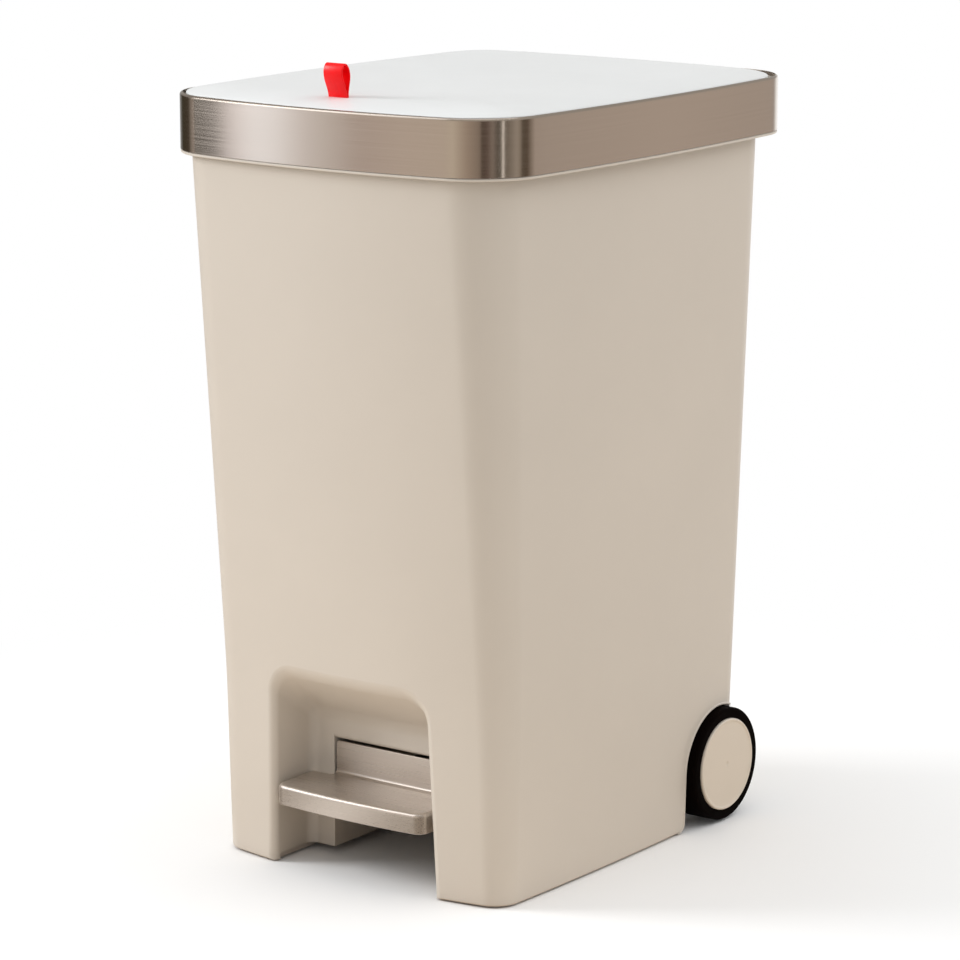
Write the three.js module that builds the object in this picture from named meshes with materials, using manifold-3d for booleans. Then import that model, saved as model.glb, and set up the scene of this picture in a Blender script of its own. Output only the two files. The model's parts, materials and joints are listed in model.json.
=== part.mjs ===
// Wheeled pedal bin with a steel band, an inset crowned lid and a pull loop.
// Millimetres, +Z up, front towards -Y. The origin is on the floor under the middle of the band.
//
// A foot on the tread turns the pedal lever about its pin, the lever's rear end lifts the rod in the
// channel of the rear wall, and the rod's cross pin turns the lid's crank about the hinge pins.

import * as THREE from 'three';
import { mergeVertices } from 'three/addons/utils/BufferGeometryUtils.js';
import Module from 'manifold-3d';

const wasm = await Module();
wasm.setup();

// ---------------------------------------------------------------- driving dimensions

const fit = 0.3; // gap between two pieces that touch
const wall = 2.8; // moulded wall of the body

// Steel band. Its plan is a rounded rectangle whose four sides bow outwards.
const bandTop = 690;
const bandHeight = 49.5;
const bandHalfWidth = 181;
const bandFront = 226.5;
const bandRear = 235;
const bandCorner = 48;
const bandSideBow = 10.4;
const bandFrontBow = 19;
const bandRearBow = 10.5;
const bandSheet = 0.9;
const bandRoll = 2.4; // how far the top edge rolls inwards

// Body plan at the band's lower edge: how far it stays inside the band, and its own bows.
const sideOverhang = 11.1;
const frontOverhang = 5.5;
const rearOverhang = 22.7;
const rimCorner = 41.5;
const rimSideBow = 8.2;
const bodyFrontBow = 17;
const bodyRearBow = 12;

// Body taper down to the floor. The front is steeper below the knee.
const sideTaper = 13.3;
const frontTaper = 38.3;
const rearTaper = 29;
const floorCorner = 20;
const floorSideBow = 3.8;
const kneeHeight = 170;
const kneeFlare = 4.4;
const floorGap = 1.5; // underside of the front legs above the floor
const sillLift = 2; // underside of everything behind the front legs
const legLength = 90;
const legInner = 14; // how far back the legs' inner edges reach the floor
const binFloor = 8;
const footRelief = 7; // underside between the legs and beside the tunnel

// Foot pads
const padRadius = 13;
const padPocket = 1.8;
const padSideInset = 32;
const frontPadSetback = 46;
const rearPadForward = 30;

// Foot recess in the front
const recessDepth = 60.5;
const recessLowHalf = 89.3;
const recessTopHalf = 83.5;
const recessFrontTop = 182;
const recessBackTop = 133;
const recessFrontCorner = 23;
const recessBackCorner = 12;

// Tunnel of the pedal lever, bay of the axle and wheel wells under the bin's floor
const tunnelHalf = 61.5;
const tunnelTop = 113.5;
const baySetback = 56; // bay's front wall ahead of the axle
const bayTop = 114;

// Wheels
const wheelRadius = 52.9;
const wheelWidth = 32;
const wheelProud = 9.5; // hub cap's face outside the body's side
const wheelFloorGap = 2.3;
const axleBehind = 151.5; // axle behind the origin
const axleRadius = 4;
const capRadius = 43;
const capDepth = 5.4;
const archGap = 1;
const heelRound = 8; // lower corner of the body in front of a wheel
const wellDepth = 47; // from the hub cap's face to the well's inner wall
const tyreShoulder = 2.4;
const tyreSetback = 1.6; // tyre's outer side behind the hub cap's face
const hubSleeve = 5; // wall of the hub's sleeve
const hubRim = 3.5;
const hubDisc = 3;
const axleBossLength = 10;
const axleBossWall = 5.5;

// Collar between the body and the band
const collarWall = 1.6;
const collarLip = 2.3;
const collarWeb = 3;
const collarInnerWall = 2;
const collarInnerDrop = 24;
const pocketDepth = 20.5; // collar web below the band's top
const collarBelowBand = 4;

// Lid
const lidGap = 1.3;
const lidRearGap = 7;
const lidCornerGap = 4; // how much wider its corners turn than the band's
const lidRise = 0.5; // lid's edge above the band
const lidCrown = 5.5;
const lidCrownWidth = 50;
const lidShell = 2.4;
const lidSkirt = 15.5;
const lidOpenAngle = 75;
const lidEdgeRound = 1.2;
const bumperRadius = 3.5;
const bumperSideInset = 72.4;
const innerPanel = 2.2;
const innerPanelDrop = 7.6;
const innerPanelInset = 8;
const panelScrewSideInset = 61.5;
const panelScrewEndInset = 105.8;

// Lid hinges
const hingeDrop = 6.5; // axis below the band's top
const hingeSpread = 95;
const knuckleRadius = 4.6;
const knuckleLength = 18;
const hingeScrewSpread = 5.2;
const hingeScrewForward = 28;
const lugThickness = 5;
const lugRear = 3.2; // lug's rear face behind the axis
const hingePinRadius = 2;
const hingePlateMargin = 8; // plate ahead of its screws

// Pull loop
const loopSetback = 40.5; // behind the band's front edge
const loopHeight = 29;
const loopLean = 3.2; // how far its top leans to the front
const loopWidth = 20;
const loopStrap = 1.3;
const loopDepth = 5.9; // half depth at its widest
const loopWidest = 0.7; // share of its height
const loopFootHalf = 5;
const loopFootDepth = 1.6;
const clipDepth = 2;
const clipHalfDepth = 6;

// Crank under the lid
const crankHalf = 14;
const crankScrewX = 9;
const crankWall = 2.6; // metal round the slot
const crankSlotPlay = 1.1;

// Pedal
const treadTop = 77;
const treadFrontSideGap = 4.85; // to the recess's side wall at the front corners
const treadRearSideGap = 3.85;
const treadCorner = 10;
const treadBow = 4;
const treadSheet = 2.4;
const treadSkirt = 18.5;
const treadProud = 3; // ahead of the body's front face
const treadWallGap = 7.5; // between its rear edge and the recess's back wall
const plateHeight = 30;
const plateGap = 2.5;
const leverDepth = 9.8;
const leverSkin = 3;
const leverFrontHalf = 52;
const leverMiddleHalf = 29;
const leverRearHalf = 12.5;
const pivotBehind = 45;
const pivotRadius = 4;
const pedalPress = 11;
const pedalScrewSpread = 31;
const pedalBossDepth = 5.6;
const leverNeckStart = 30; // behind the recess's back wall
const leverNeckEnd = 35; // ahead of the pivot
const leverTailStart = 30; // behind the pivot
const bracketSheet = 2.5;
const bracketHalfLength = 11;
const bracketSideGap = 2; // between the lever and the bracket's ears
const bracketScrewSpread = 20.3;
const pinHead = 2.4;
const pinHeadRim = 2.5;

// Lift rod and its channel in the rear wall
const rodRadius = 3;
const rodInset = 15; // rod's axis inside the rear face
const channelHalf = 14;
const channelBehindRod = 11;
const channelBottom = 60;
const coverOverlap = 10;
const coverSheet = 2.4;
const coverScrewInset = 18;
const footRadius = 6;
const guideHeight = 12;
const lowerGuideHeight = 150;
const upperGuideDrop = 40.5; // below the rim
const crossPinRadius = 2;
const forkGap = 3.4;
const forkHalf = 8;
const forkReach = 6;
const forkRoot = 14; // cross pin above the bottom of the fork's gap
const socketLength = 11;
const footLength = 14;
const footFloor = 2; // under the rod's end
const crossPinHead = 1.5;
const crossPinRim = 1.2;

// Screws
const screwRadius = 1.6;
const screwHeadRadius = 3.4;
const screwHeadHeight = 2.2;
const screwLength = 10;
const bossRadius = 4.5;
const screwTip = 1;

// Facets
const cornerSteps = 6;
const sideSteps = 4;
const roundSteps = 16;
const wheelSteps = 32;
const screwSteps = 8;

// ---------------------------------------------------------------- geometry helpers

const degrees = Math.PI / 180;

/** Turns a closed geometry into a manifold solid, with its faces pointing outwards. */
function toSolid(geometry) {
  const plain = geometry.clone();
  plain.deleteAttribute('normal');
  plain.deleteAttribute('uv');
  const merged = mergeVertices(plain, 1e-4);
  const position = merged.getAttribute('position');
  const corners = Uint32Array.from(merged.getIndex().array);
  const a = new THREE.Vector3();
  const b = new THREE.Vector3();
  const c = new THREE.Vector3();
  let volume = 0;
  for (let i = 0; i < corners.length; i += 3) {
    a.fromBufferAttribute(position, corners[i]);
    b.fromBufferAttribute(position, corners[i + 1]);
    c.fromBufferAttribute(position, corners[i + 2]);
    volume += a.dot(b.cross(c));
  }
  if (volume < 0) {
    corners.reverse();
  }
  const data = { numProp: 3, vertProperties: Float32Array.from(position.array), triVerts: corners };
  return new wasm.Manifold(new wasm.Mesh(data));
}

/** Turns a manifold solid back into a geometry. */
function toGeometry(solid) {
  const mesh = solid.getMesh();
  const geometry = new THREE.BufferGeometry();
  geometry.setAttribute('position', new THREE.BufferAttribute(mesh.vertProperties, 3));
  geometry.setIndex(new THREE.BufferAttribute(mesh.triVerts, 1));
  geometry.computeVertexNormals();
  return geometry;
}

const join = (...solids) => solids.reduce((sum, solid) => sum.add(solid));

const cut = (solid, ...tools) => tools.reduce((rest, tool) => rest.subtract(tool), solid);

/** Skins a stack of rings of [x, y, z] points. A stack that isn't looped is closed by a fan at each end. */
function skin(rings, looped = false) {
  const count = rings[0].length;
  const points = rings.flat();
  const index = [];
  const bands = looped ? rings.length : rings.length - 1;
  for (let level = 0; level < bands; level += 1) {
    const low = level * count;
    const high = ((level + 1) % rings.length) * count;
    for (let i = 0; i < count; i += 1) {
      const next = (i + 1) % count;
      index.push(low + i, low + next, high + next);
      index.push(low + i, high + next, high + i);
    }
  }
  if (!looped) {
    const ends = [{ first: 0, turn: -1 }, { first: (rings.length - 1) * count, turn: 1 }];
    for (const { first, turn } of ends) {
      const middle = [0, 0, 0];
      for (let i = 0; i < count; i += 1) {
        middle.forEach((value, axis) => {
          middle[axis] = value + points[first + i][axis] / count;
        });
      }
      points.push(middle);
      for (let i = 0; i < count; i += 1) {
        const here = first + i;
        const next = first + ((i + 1) % count);
        index.push(...(turn > 0 ? [here, next] : [next, here]), points.length - 1);
      }
    }
  }
  const geometry = new THREE.BufferGeometry();
  geometry.setAttribute('position', new THREE.Float32BufferAttribute(points.flat(), 3));
  geometry.setIndex(index);
  return toSolid(geometry);
}

/** A rounded rectangle with bowed sides, as [x, y] points going counter-clockwise. */
function outline(plan, inset = 0) {
  const halfWidth = plan.halfWidth - inset;
  const halfDepth = (plan.front + plan.rear) / 2 - inset;
  const middle = (plan.rear - plan.front) / 2;
  const corner = Math.max(plan.corner - inset, wall);
  const centres = [[1, -1], [1, 1], [-1, 1], [-1, -1]].map(([x, y]) => [
    x * (halfWidth - corner),
    y * (halfDepth - corner),
  ]);
  const flat = [];
  centres.forEach(([x, y], k) => {
    for (let i = 0; i <= cornerSteps; i += 1) {
      const angle = (k - 1 + i / cornerSteps) * 90 * degrees;
      flat.push([x + corner * Math.cos(angle), y + corner * Math.sin(angle)]);
    }
    const [nextX, nextY] = centres[(k + 1) % 4];
    const along = k * 90 * degrees;
    const start = flat[flat.length - 1];
    const end = [nextX + corner * Math.cos(along), nextY + corner * Math.sin(along)];
    for (let i = 1; i < sideSteps; i += 1) {
      const t = i / sideSteps;
      flat.push([start[0] + (end[0] - start[0]) * t, start[1] + (end[1] - start[1]) * t]);
    }
  });
  return flat.map(([x, y]) => {
    const acrossX = 1 - (x / halfWidth) ** 2;
    const acrossY = 1 - (y / halfDepth) ** 2;
    const bowY = y < 0 ? plan.frontBow : plan.rearBow;
    return [
      x + (plan.sideBow * acrossY * x) / halfWidth,
      middle + y + (bowY * acrossX * y) / halfDepth,
    ];
  });
}

const ringAt = (plan, inset, z) => outline(plan, inset).map(([x, y]) => [x, y, z]);

/** A flat-bottomed block that keeps one plan between two heights. */
const block = (plan, inset, low, high) => skin([ringAt(plan, inset, low), ringAt(plan, inset, high)]);

/** A band that runs round the plan. Its section is a list of [inset, z] points. */
const bandRound = (plan, section) => skin(section.map(([inset, z]) => ringAt(plan, inset, z)), true);

/** Extrudes a closed outline along an axis. Its points are [y, z], [x, z] or [x, y] for x, y or z. */
function prism(axis, points, from, to) {
  const shape = new THREE.Shape(points.map(([a, b]) => new THREE.Vector2(a, b)));
  const geometry = new THREE.ExtrudeGeometry(shape, { depth: to - from, bevelEnabled: false });
  geometry.translate(0, 0, from);
  const x = new THREE.Vector3(1, 0, 0);
  const y = new THREE.Vector3(0, 1, 0);
  const z = new THREE.Vector3(0, 0, 1);
  const frames = { x: [y, z, x], y: [x, z, y], z: [x, y, z] };
  geometry.applyMatrix4(new THREE.Matrix4().makeBasis(...frames[axis]));
  return toSolid(geometry);
}

/** A box between two opposite corners. */
function box([x0, y0, z0], [x1, y1, z1]) {
  const geometry = new THREE.BoxGeometry(x1 - x0, y1 - y0, z1 - z0);
  geometry.translate((x0 + x1) / 2, (y0 + y1) / 2, (z0 + z1) / 2);
  return toSolid(geometry);
}

/** A round bar between two points. */
function bar(radius, from, to, steps = roundSteps) {
  const start = new THREE.Vector3(...from);
  const way = new THREE.Vector3(...to).sub(start);
  const geometry = new THREE.CylinderGeometry(radius, radius, way.length(), steps);
  geometry.translate(0, way.length() / 2, 0);
  const up = new THREE.Vector3(0, 1, 0);
  geometry.applyQuaternion(new THREE.Quaternion().setFromUnitVectors(up, way.normalize()));
  geometry.translate(...start.toArray());
  return toSolid(geometry);
}

/** A solid of revolution about +X. Its section is a list of [radius, x] points. */
function turned(section, steps) {
  const geometry = new THREE.LatheGeometry(section.map(([r, x]) => new THREE.Vector2(r, x)), steps);
  geometry.rotateZ(-Math.PI / 2);
  return toSolid(geometry);
}

/** The points of an arc about a centre, from one angle to another, in degrees. */
function arc([a, b], radius, from, to, steps) {
  return Array.from({ length: steps + 1 }, (_, i) => {
    const angle = (from + ((to - from) * i) / steps) * degrees;
    return [a + radius * Math.cos(angle), b + radius * Math.sin(angle)];
  });
}

// ---------------------------------------------------------------- the scene

const colours = {
  beige: { color: 0xd8cdbc, roughness: 0.55, metalness: 0 },
  steel: { color: 0xa79b8d, roughness: 0.3, metalness: 1 },
  white: { color: 0xebebec, roughness: 0.5, metalness: 0 },
  grey: { color: 0x8f8d8a, roughness: 0.6, metalness: 0 },
  zinc: { color: 0x9a9a9a, roughness: 0.35, metalness: 1 },
  black: { color: 0x151414, roughness: 0.75, metalness: 0 },
  red: { color: 0xf0202e, roughness: 0.6, metalness: 0 },
};

const pedalBin = new THREE.Group();
const body = new THREE.Group();
const lid = new THREE.Group();
const pedal = new THREE.Group();
const lift = new THREE.Group();
pedalBin.add(body, lid, pedal, lift);

/** Adds a named piece to a group and returns its mesh. */
function piece(group, name, colour, solid) {
  const material = new THREE.MeshStandardMaterial(colours[colour]);
  const mesh = new THREE.Mesh(toGeometry(solid), material);
  mesh.name = name;
  group.add(mesh);
  return mesh;
}

const sides = [{ side: -1, label: 'left' }, { side: 1, label: 'right' }];

// ---------------------------------------------------------------- plans and places

const rimHeight = bandTop - bandHeight;

const bandPlan = {
  halfWidth: bandHalfWidth,
  front: bandFront,
  rear: bandRear,
  corner: bandCorner,
  sideBow: bandSideBow,
  frontBow: bandFrontBow,
  rearBow: bandRearBow,
};

/** The body's plan at a height. */
function planAt(z) {
  const down = 1 - THREE.MathUtils.clamp(z / rimHeight, 0, 1);
  const rimFront = bandFront - frontOverhang;
  const kneeFront = rimFront - frontTaper + kneeFlare;
  const front = z < kneeHeight
    ? kneeFront - kneeFlare * (1 - z / kneeHeight)
    : kneeFront + ((rimFront - kneeFront) * Math.min(z - kneeHeight, rimHeight - kneeHeight))
      / (rimHeight - kneeHeight);
  return {
    halfWidth: bandHalfWidth - sideOverhang - sideTaper * down,
    front,
    rear: bandRear - rearOverhang - rearTaper * down,
    corner: rimCorner + (floorCorner - rimCorner) * down,
    sideBow: rimSideBow + (floorSideBow - rimSideBow) * down,
    frontBow: bodyFrontBow,
    rearBow: bodyRearBow,
  };
}

const rimPlan = planAt(rimHeight);
const frontFace = (z) => -planAt(z).front - bodyFrontBow;
const rearSlope = rearTaper / rimHeight;
const rearFace = (z) => bandRear - rearOverhang + bodyRearBow - (rimHeight - z) * rearSlope;

const webTop = bandTop - pocketDepth;
const webBottom = webTop - collarWeb;
const bodyTop = webBottom - fit;
const collarOut = bandSheet + fit;
const collarIn = collarOut + collarWall;

const wheelHeight = wheelRadius + wheelFloorGap;
const wheelFace = planAt(wheelHeight).halfWidth + planAt(wheelHeight).sideBow + wheelProud;
const wellInner = wheelFace - wellDepth;
const axle = [axleBehind, wheelHeight];
const archRadius = wheelRadius + archGap;
const bayHalf = wellInner - wall;
const bayFront = axleBehind - baySetback;

const recessBack = frontFace(treadTop) + recessDepth;
const recessHalfAt = (z) => recessLowHalf + ((recessTopHalf - recessLowHalf) * z) / recessFrontTop;
const leverTop = treadTop - treadSheet - fit;
const leverBottom = leverTop - leverDepth;
const pivot = [pivotBehind, (leverTop + leverBottom) / 2];

const rodAt = (z) => rearFace(z) - rodInset;
const rodWay = new THREE.Vector3(0, rearSlope, 1).normalize();
const footContact = leverTop + fit;
const pressSlope = Math.tan(pedalPress * degrees);
const tiltRise = (footRadius + leverDepth / 2) * (1 / Math.cos(pedalPress * degrees) - 1);
const leverRise = (rodAt(footContact) - pivotBehind) * pressSlope + tiltRise;
const rodTravel = leverRise / (1 - rearSlope * pressSlope);
const hingeHeight = bandTop - hingeDrop;
const crankAngle = lidOpenAngle / 2;
const rodLeanEffect = 0.975; // the rod's lean makes the pin turn a little less than the crank
const crankReach = rodTravel / 2 / Math.tan(crankAngle * rodLeanEffect * degrees);
const hingeLine = [rodAt(hingeHeight) + crankReach, hingeHeight];
const crossPinHeight = hingeHeight - rodTravel / 2;
const crossPin = [rodAt(crossPinHeight), crossPinHeight];

const lidEdge = bandTop + lidRise;
const lidInset = collarIn + lidGap;
const crownAt = (inset) => {
  const share = Math.min((inset - lidInset) / lidCrownWidth, 1);
  return lidEdge + lidCrown * (1 - (1 - share) ** 2);
};
const panelTop = lidEdge + lidCrown - lidShell - innerPanelDrop;
const panelBottom = panelTop - innerPanel;
const plateTop = panelBottom - fit;
const plateBottom = plateTop - bracketSheet;

// ---------------------------------------------------------------- body

/** The foot recess: its ceiling slopes down to the back wall. grow thickens it by the wall round it. */
function recessForm(grow) {
  const halfAt = (z) => recessHalfAt(z) + grow;
  const beyond = 1.3;
  const section = (share) => {
    const top = recessBackTop + (recessFrontTop - recessBackTop) * share + grow;
    const round = recessBackCorner + (recessFrontCorner - recessBackCorner) * share;
    const y = recessBack + (share > 0 ? 0 : grow) - recessDepth * share;
    const right = arc([halfAt(top) - round, top - round], round, 0, 90, cornerSteps);
    const left = arc([round - halfAt(top), top - round], round, 90, 180, cornerSteps);
    const low = halfAt(-wall);
    return [[low, -wall], ...right, ...left, [-low, -wall]].map(([x, z]) => [x, y, z]);
  };
  return skin([section(0), section(beyond)]);
}

const tunnelForm = (grow) => box(
  [-tunnelHalf - grow, recessBack - wall, -wall],
  [tunnelHalf + grow, bayFront + wall, tunnelTop + grow],
);

const bayForm = (grow) => box(
  [-bayHalf - grow, bayFront - grow, -wall],
  [bayHalf + grow, bandRear * 2, bayTop + grow],
);

/** A wheel well, open outwards and downwards. Its arch follows the wheel and runs out through the rear. */
function wellForm(side, grow) {
  const radius = archRadius + grow;
  const heel = axleBehind - radius - heelRound;
  const profile = [
    [heel, -wall],
    ...arc([heel, sillLift + heelRound], heelRound, -90, 0, cornerSteps),
    ...arc(axle, radius, 180, 0, cornerSteps * 4),
    [axleBehind + radius, -wall],
  ];
  const inner = wellInner - grow;
  const ends = side > 0 ? [inner, bandHalfWidth * 2] : [-bandHalfWidth * 2, -inner];
  return prism('x', profile, ...ends);
}

/** The rod's channel, open to the rear. */
function channelForm(grow, top) {
  const half = channelHalf + grow;
  const low = channelBottom;
  const floorAt = (z) => rodAt(z) - channelBehindRod - grow;
  const profile = [[floorAt(low), low], [bandRear * 2, low], [bandRear * 2, top], [floorAt(top), top]];
  return prism('x', profile, -half, half);
}

/** The body's outside, or its inside when it is inset by the wall. */
function bodyForm(inset, bottom, top) {
  const levels = [bottom, kneeHeight, rimHeight, top];
  return skin(levels.map((z) => ringAt(planAt(z), inset, z)));
}

const pads = [];
for (const { side, label } of sides) {
  const frontX = side * (planAt(0).halfWidth - padSideInset);
  const frontY = frontFace(0) + frontPadSetback;
  pads.push({ name: `foot_pad_front_${label}`, x: frontX, y: frontY, underside: floorGap });
  const rearY = bayFront - rearPadForward;
  pads.push({ name: `foot_pad_rear_${label}`, x: frontX, y: rearY, underside: sillLift });
}

const coverHalf = channelHalf + coverOverlap;
const coverLow = channelBottom - wall;
const coverHigh = rimHeight - fit;
const coverScrews = [];
for (const { side } of sides) {
  for (const z of [coverLow + coverScrewInset, coverHigh - coverScrewInset]) {
    coverScrews.push({ x: side * (coverHalf - bossRadius), z });
  }
}

const axleBossRadius = axleRadius + axleBossWall;

function makeBody() {
  const shield = join(
    recessForm(wall),
    tunnelForm(wall),
    bayForm(wall),
    wellForm(-1, wall),
    wellForm(1, wall),
    channelForm(wall, bodyTop + wall),
  );
  let inside = cut(bodyForm(wall, sillLift + binFloor, bodyTop + wall), shield);
  for (const { x, z } of coverScrews) {
    const deep = rearFace(z) - screwLength - wall;
    inside = cut(inside, bar(bossRadius, [x, rearFace(z), z], [x, deep, z]));
  }
  for (const side of [-1, 1]) {
    const x = side * bracketScrewSpread;
    const foot = [x, pivotBehind, tunnelTop];
    inside = cut(inside, bar(bossRadius, foot, [x, pivotBehind, tunnelTop + screwLength]));
  }
  const bay = bayForm(0).intersect(bodyForm(wall, -wall, bayTop + wall));
  let shell = cut(bodyForm(0, floorGap, bodyTop), inside, recessForm(0), tunnelForm(0), bay);
  shell = cut(shell, wellForm(-1, 0), wellForm(1, 0), channelForm(0, bodyTop + wall));
  const wide = bandHalfWidth * 2;
  const sill = [[-wide, frontFace(0) + legLength, -wall], [wide, bandRear * 2, sillLift]];
  const between = recessLowHalf + wall;
  const relief = [[-between, frontFace(0) + legInner, -wall], [between, bayFront + wall, footRelief]];
  shell = cut(shell, box(...sill), box(...relief));
  for (const side of [-1, 1]) {
    const inner = side * (bayHalf - axleBossLength);
    const outer = side * (wellInner + axleBossLength);
    shell = join(shell, bar(axleBossRadius, [inner, ...axle], [outer, ...axle]));
  }
  shell = cut(shell, bar(axleRadius + fit, [-wide, ...axle], [wide, ...axle]));
  for (const { x, y, underside } of pads) {
    shell = cut(shell, bar(padRadius + fit, [x, y, -wall], [x, y, underside + padPocket + fit]));
  }
  for (const { x, z } of coverScrews) {
    const depth = rearFace(z) - screwLength;
    shell = cut(shell, bar(screwRadius + fit, [x, rearFace(z) + wall, z], [x, depth, z]));
  }
  for (const side of [-1, 1]) {
    const x = side * bracketScrewSpread;
    const deep = tunnelTop + screwLength - bracketSheet;
    shell = cut(shell, bar(screwRadius + fit, [x, pivotBehind, 0], [x, pivotBehind, deep]));
  }
  return shell;
}

piece(body, 'outer_body', 'beige', makeBody());

for (const { name, x, y, underside } of pads) {
  piece(body, name, 'black', bar(padRadius, [x, y, 0], [x, y, underside + padPocket]));
}

// ---------------------------------------------------------------- collar, band and hinge pins

const hingeMiddles = sides.map(({ side, label }) => ({ x: side * hingeSpread, label }));
const lugSpan = knuckleLength / 2 + fit + lugThickness;

/** The two lugs on the collar that hold one hinge pin. */
function lugs(x) {
  const [y, z] = hingeLine;
  const crown = arc([y, z], knuckleRadius, 180, 0, cornerSteps * 2);
  const rearSide = y + lugRear;
  const profile = [...crown, [rearSide, z - knuckleRadius / 2], [rearSide, webTop - fit]];
  profile.push([y - knuckleRadius, webTop - fit]);
  const inner = lugSpan - lugThickness;
  const pair = join(
    prism('x', profile, x - lugSpan, x - inner),
    prism('x', profile, x + inner, x + lugSpan),
  );
  const hole = bar(hingePinRadius + fit, [x - lugSpan * 2, y, z], [x + lugSpan * 2, y, z]);
  return cut(pair, hole);
}

function makeCollar() {
  const lipTop = rimHeight - fit;
  const lipBottom = lipTop - collarLip;
  const wallTop = bandTop - collarBelowBand;
  const skirt = bandRound(bandPlan, [
    [fit, lipBottom], [fit, lipTop], [collarOut, lipTop], [collarOut, wallTop],
    [collarIn, wallTop], [collarIn, lipBottom],
  ]);
  const innerFace = wall + fit;
  const mouthInset = innerFace + collarInnerWall;
  const low = bodyTop - collarInnerDrop;
  const plugged = (inset, from, to) => {
    const plug = channelForm(inset, to + wall);
    return cut(block(rimPlan, inset, from, to), plug);
  };
  const mouth = plugged(mouthInset, low - wall, webTop + wall);
  const web = block(bandPlan, (collarOut + collarIn) / 2, webBottom, webTop);
  const innerWall = plugged(innerFace, low, webTop);
  const slotHalf = channelHalf - bandRoll;
  const slotFront = rodAt(webTop) - channelBehindRod + bandRoll;
  const slotRear = hingeLine[0] - knuckleRadius;
  const slot = box([-slotHalf, slotFront, webBottom - wall], [slotHalf, slotRear, webTop + wall]);
  const collar = cut(join(skirt, web, innerWall), mouth, slot);
  return join(collar, ...hingeMiddles.map(({ x }) => lugs(x)));
}

piece(body, 'top_ring', 'beige', makeCollar());

/** Band section: a plain strip whose top edge rolls inwards over the collar. */
function makeBand() {
  const rollCentre = [bandRoll, bandTop - bandRoll];
  const outer = arc(rollCentre, bandRoll, 180, 90, 4);
  const inner = arc(rollCentre, bandRoll - bandSheet, 90, 180, 3);
  return bandRound(bandPlan, [[0, rimHeight], ...outer, ...inner, [bandSheet, rimHeight]]);
}

piece(body, 'steel_band', 'steel', makeBand());

for (const { x, label } of hingeMiddles) {
  const reach = lugSpan + 1;
  const pin = bar(hingePinRadius, [x - reach, ...hingeLine], [x + reach, ...hingeLine]);
  piece(body, `hinge_pin_${label}`, 'zinc', pin);
}

for (const { side, label } of sides) {
  const skirtBottom = lidEdge - lidSkirt;
  const x = side * (bandHalfWidth - bumperSideInset);
  const frontLine = bandFront + bandFrontBow * (1 - (x / bandHalfWidth) ** 2);
  const y = lidInset + lidShell + 1 - frontLine;
  const bumper = bar(bumperRadius, [x, y, webTop + fit], [x, y, skirtBottom - fit]);
  piece(body, `lid_bumper_${label}`, 'black', bumper);
}

// ---------------------------------------------------------------- screws

/** Adds a pan-head screw. It stands at a place, with its shank along a direction. */
function screw(group, name, place, direction, length = screwLength) {
  const section = [
    [0, -screwHeadHeight], [screwHeadRadius / 2, -screwHeadHeight],
    [screwHeadRadius, -screwHeadHeight / 2], [screwHeadRadius, 0],
    [screwRadius, 0], [screwRadius, length - screwTip], [0, length],
  ];
  const mesh = piece(group, name, 'zinc', turned(section, screwSteps));
  mesh.position.set(...place);
  const ahead = new THREE.Vector3(1, 0, 0);
  mesh.quaternion.setFromUnitVectors(ahead, new THREE.Vector3(...direction).normalize());
  return mesh;
}

// ---------------------------------------------------------------- rod channel cover and guides

function makeCover() {
  const inner = (z) => rearFace(z) + fit;
  const outer = (z) => inner(z) + coverSheet;
  const profile = [
    [inner(coverLow), coverLow], [outer(coverLow), coverLow],
    [outer(coverHigh), coverHigh], [inner(coverHigh), coverHigh],
  ];
  let cover = prism('x', profile, -coverHalf, coverHalf);
  for (const { x, z } of coverScrews) {
    cover = cut(cover, bar(screwRadius + fit, [x, inner(z) - wall, z], [x, outer(z) + wall, z]));
  }
  return cover;
}

piece(body, 'rod_cover', 'beige', makeCover());

coverScrews.forEach(({ x, z }, i) => {
  const seat = rearFace(z) + coverSheet + 2 * fit + (screwHeadRadius + screwRadius) * rearSlope;
  screw(body, `cover_screw_${i + 1}`, [x, seat, z], [0, -1, 0]);
});

[lowerGuideHeight, rimHeight - upperGuideDrop].forEach((z, i) => {
  const half = channelHalf - fit;
  const low = z - guideHeight / 2;
  const high = z + guideHeight / 2;
  const front = rodAt(high) - channelBehindRod + fit;
  const rear = rearFace(low) - fit;
  const ends = [low - wall, high + wall].map((level) => [0, rodAt(level), level]);
  const bore = bar(rodRadius + 2 * fit, ...ends);
  const guide = cut(box([-half, front, low], [half, rear, high]), bore);
  piece(body, i ? 'rod_guide_upper' : 'rod_guide_lower', 'grey', guide);
});

// ---------------------------------------------------------------- pedal bracket and its pin

const earInner = leverMiddleHalf + bracketSideGap;
const earOuter = earInner + bracketSheet;
const bracketTop = tunnelTop - fit;

function makeBracket() {
  const [y, z] = pivot;
  const top = box(
    [-earOuter, y - bracketHalfLength, bracketTop - bracketSheet],
    [earOuter, y + bracketHalfLength, bracketTop],
  );
  const foot = arc(pivot, bracketHalfLength, 180, 360, cornerSteps * 2);
  const profile = [...foot, [y + bracketHalfLength, bracketTop], [y - bracketHalfLength, bracketTop]];
  const ears = [prism('x', profile, -earOuter, -earInner), prism('x', profile, earInner, earOuter)];
  const holes = [-1, 1].map((side) => {
    const x = side * bracketScrewSpread;
    return bar(screwRadius + fit, [x, y, z], [x, y, tunnelTop]);
  });
  const pinHole = bar(pivotRadius + fit, [-earOuter * 2, ...pivot], [earOuter * 2, ...pivot]);
  return cut(join(top, ...ears), pinHole, ...holes);
}

piece(body, 'pedal_bracket', 'zinc', makeBracket());

for (const { side, label } of sides) {
  const seat = bracketTop - bracketSheet - fit;
  const place = [side * bracketScrewSpread, pivotBehind, seat];
  screw(body, `bracket_screw_${label}`, place, [0, 0, 1]);
}

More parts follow.
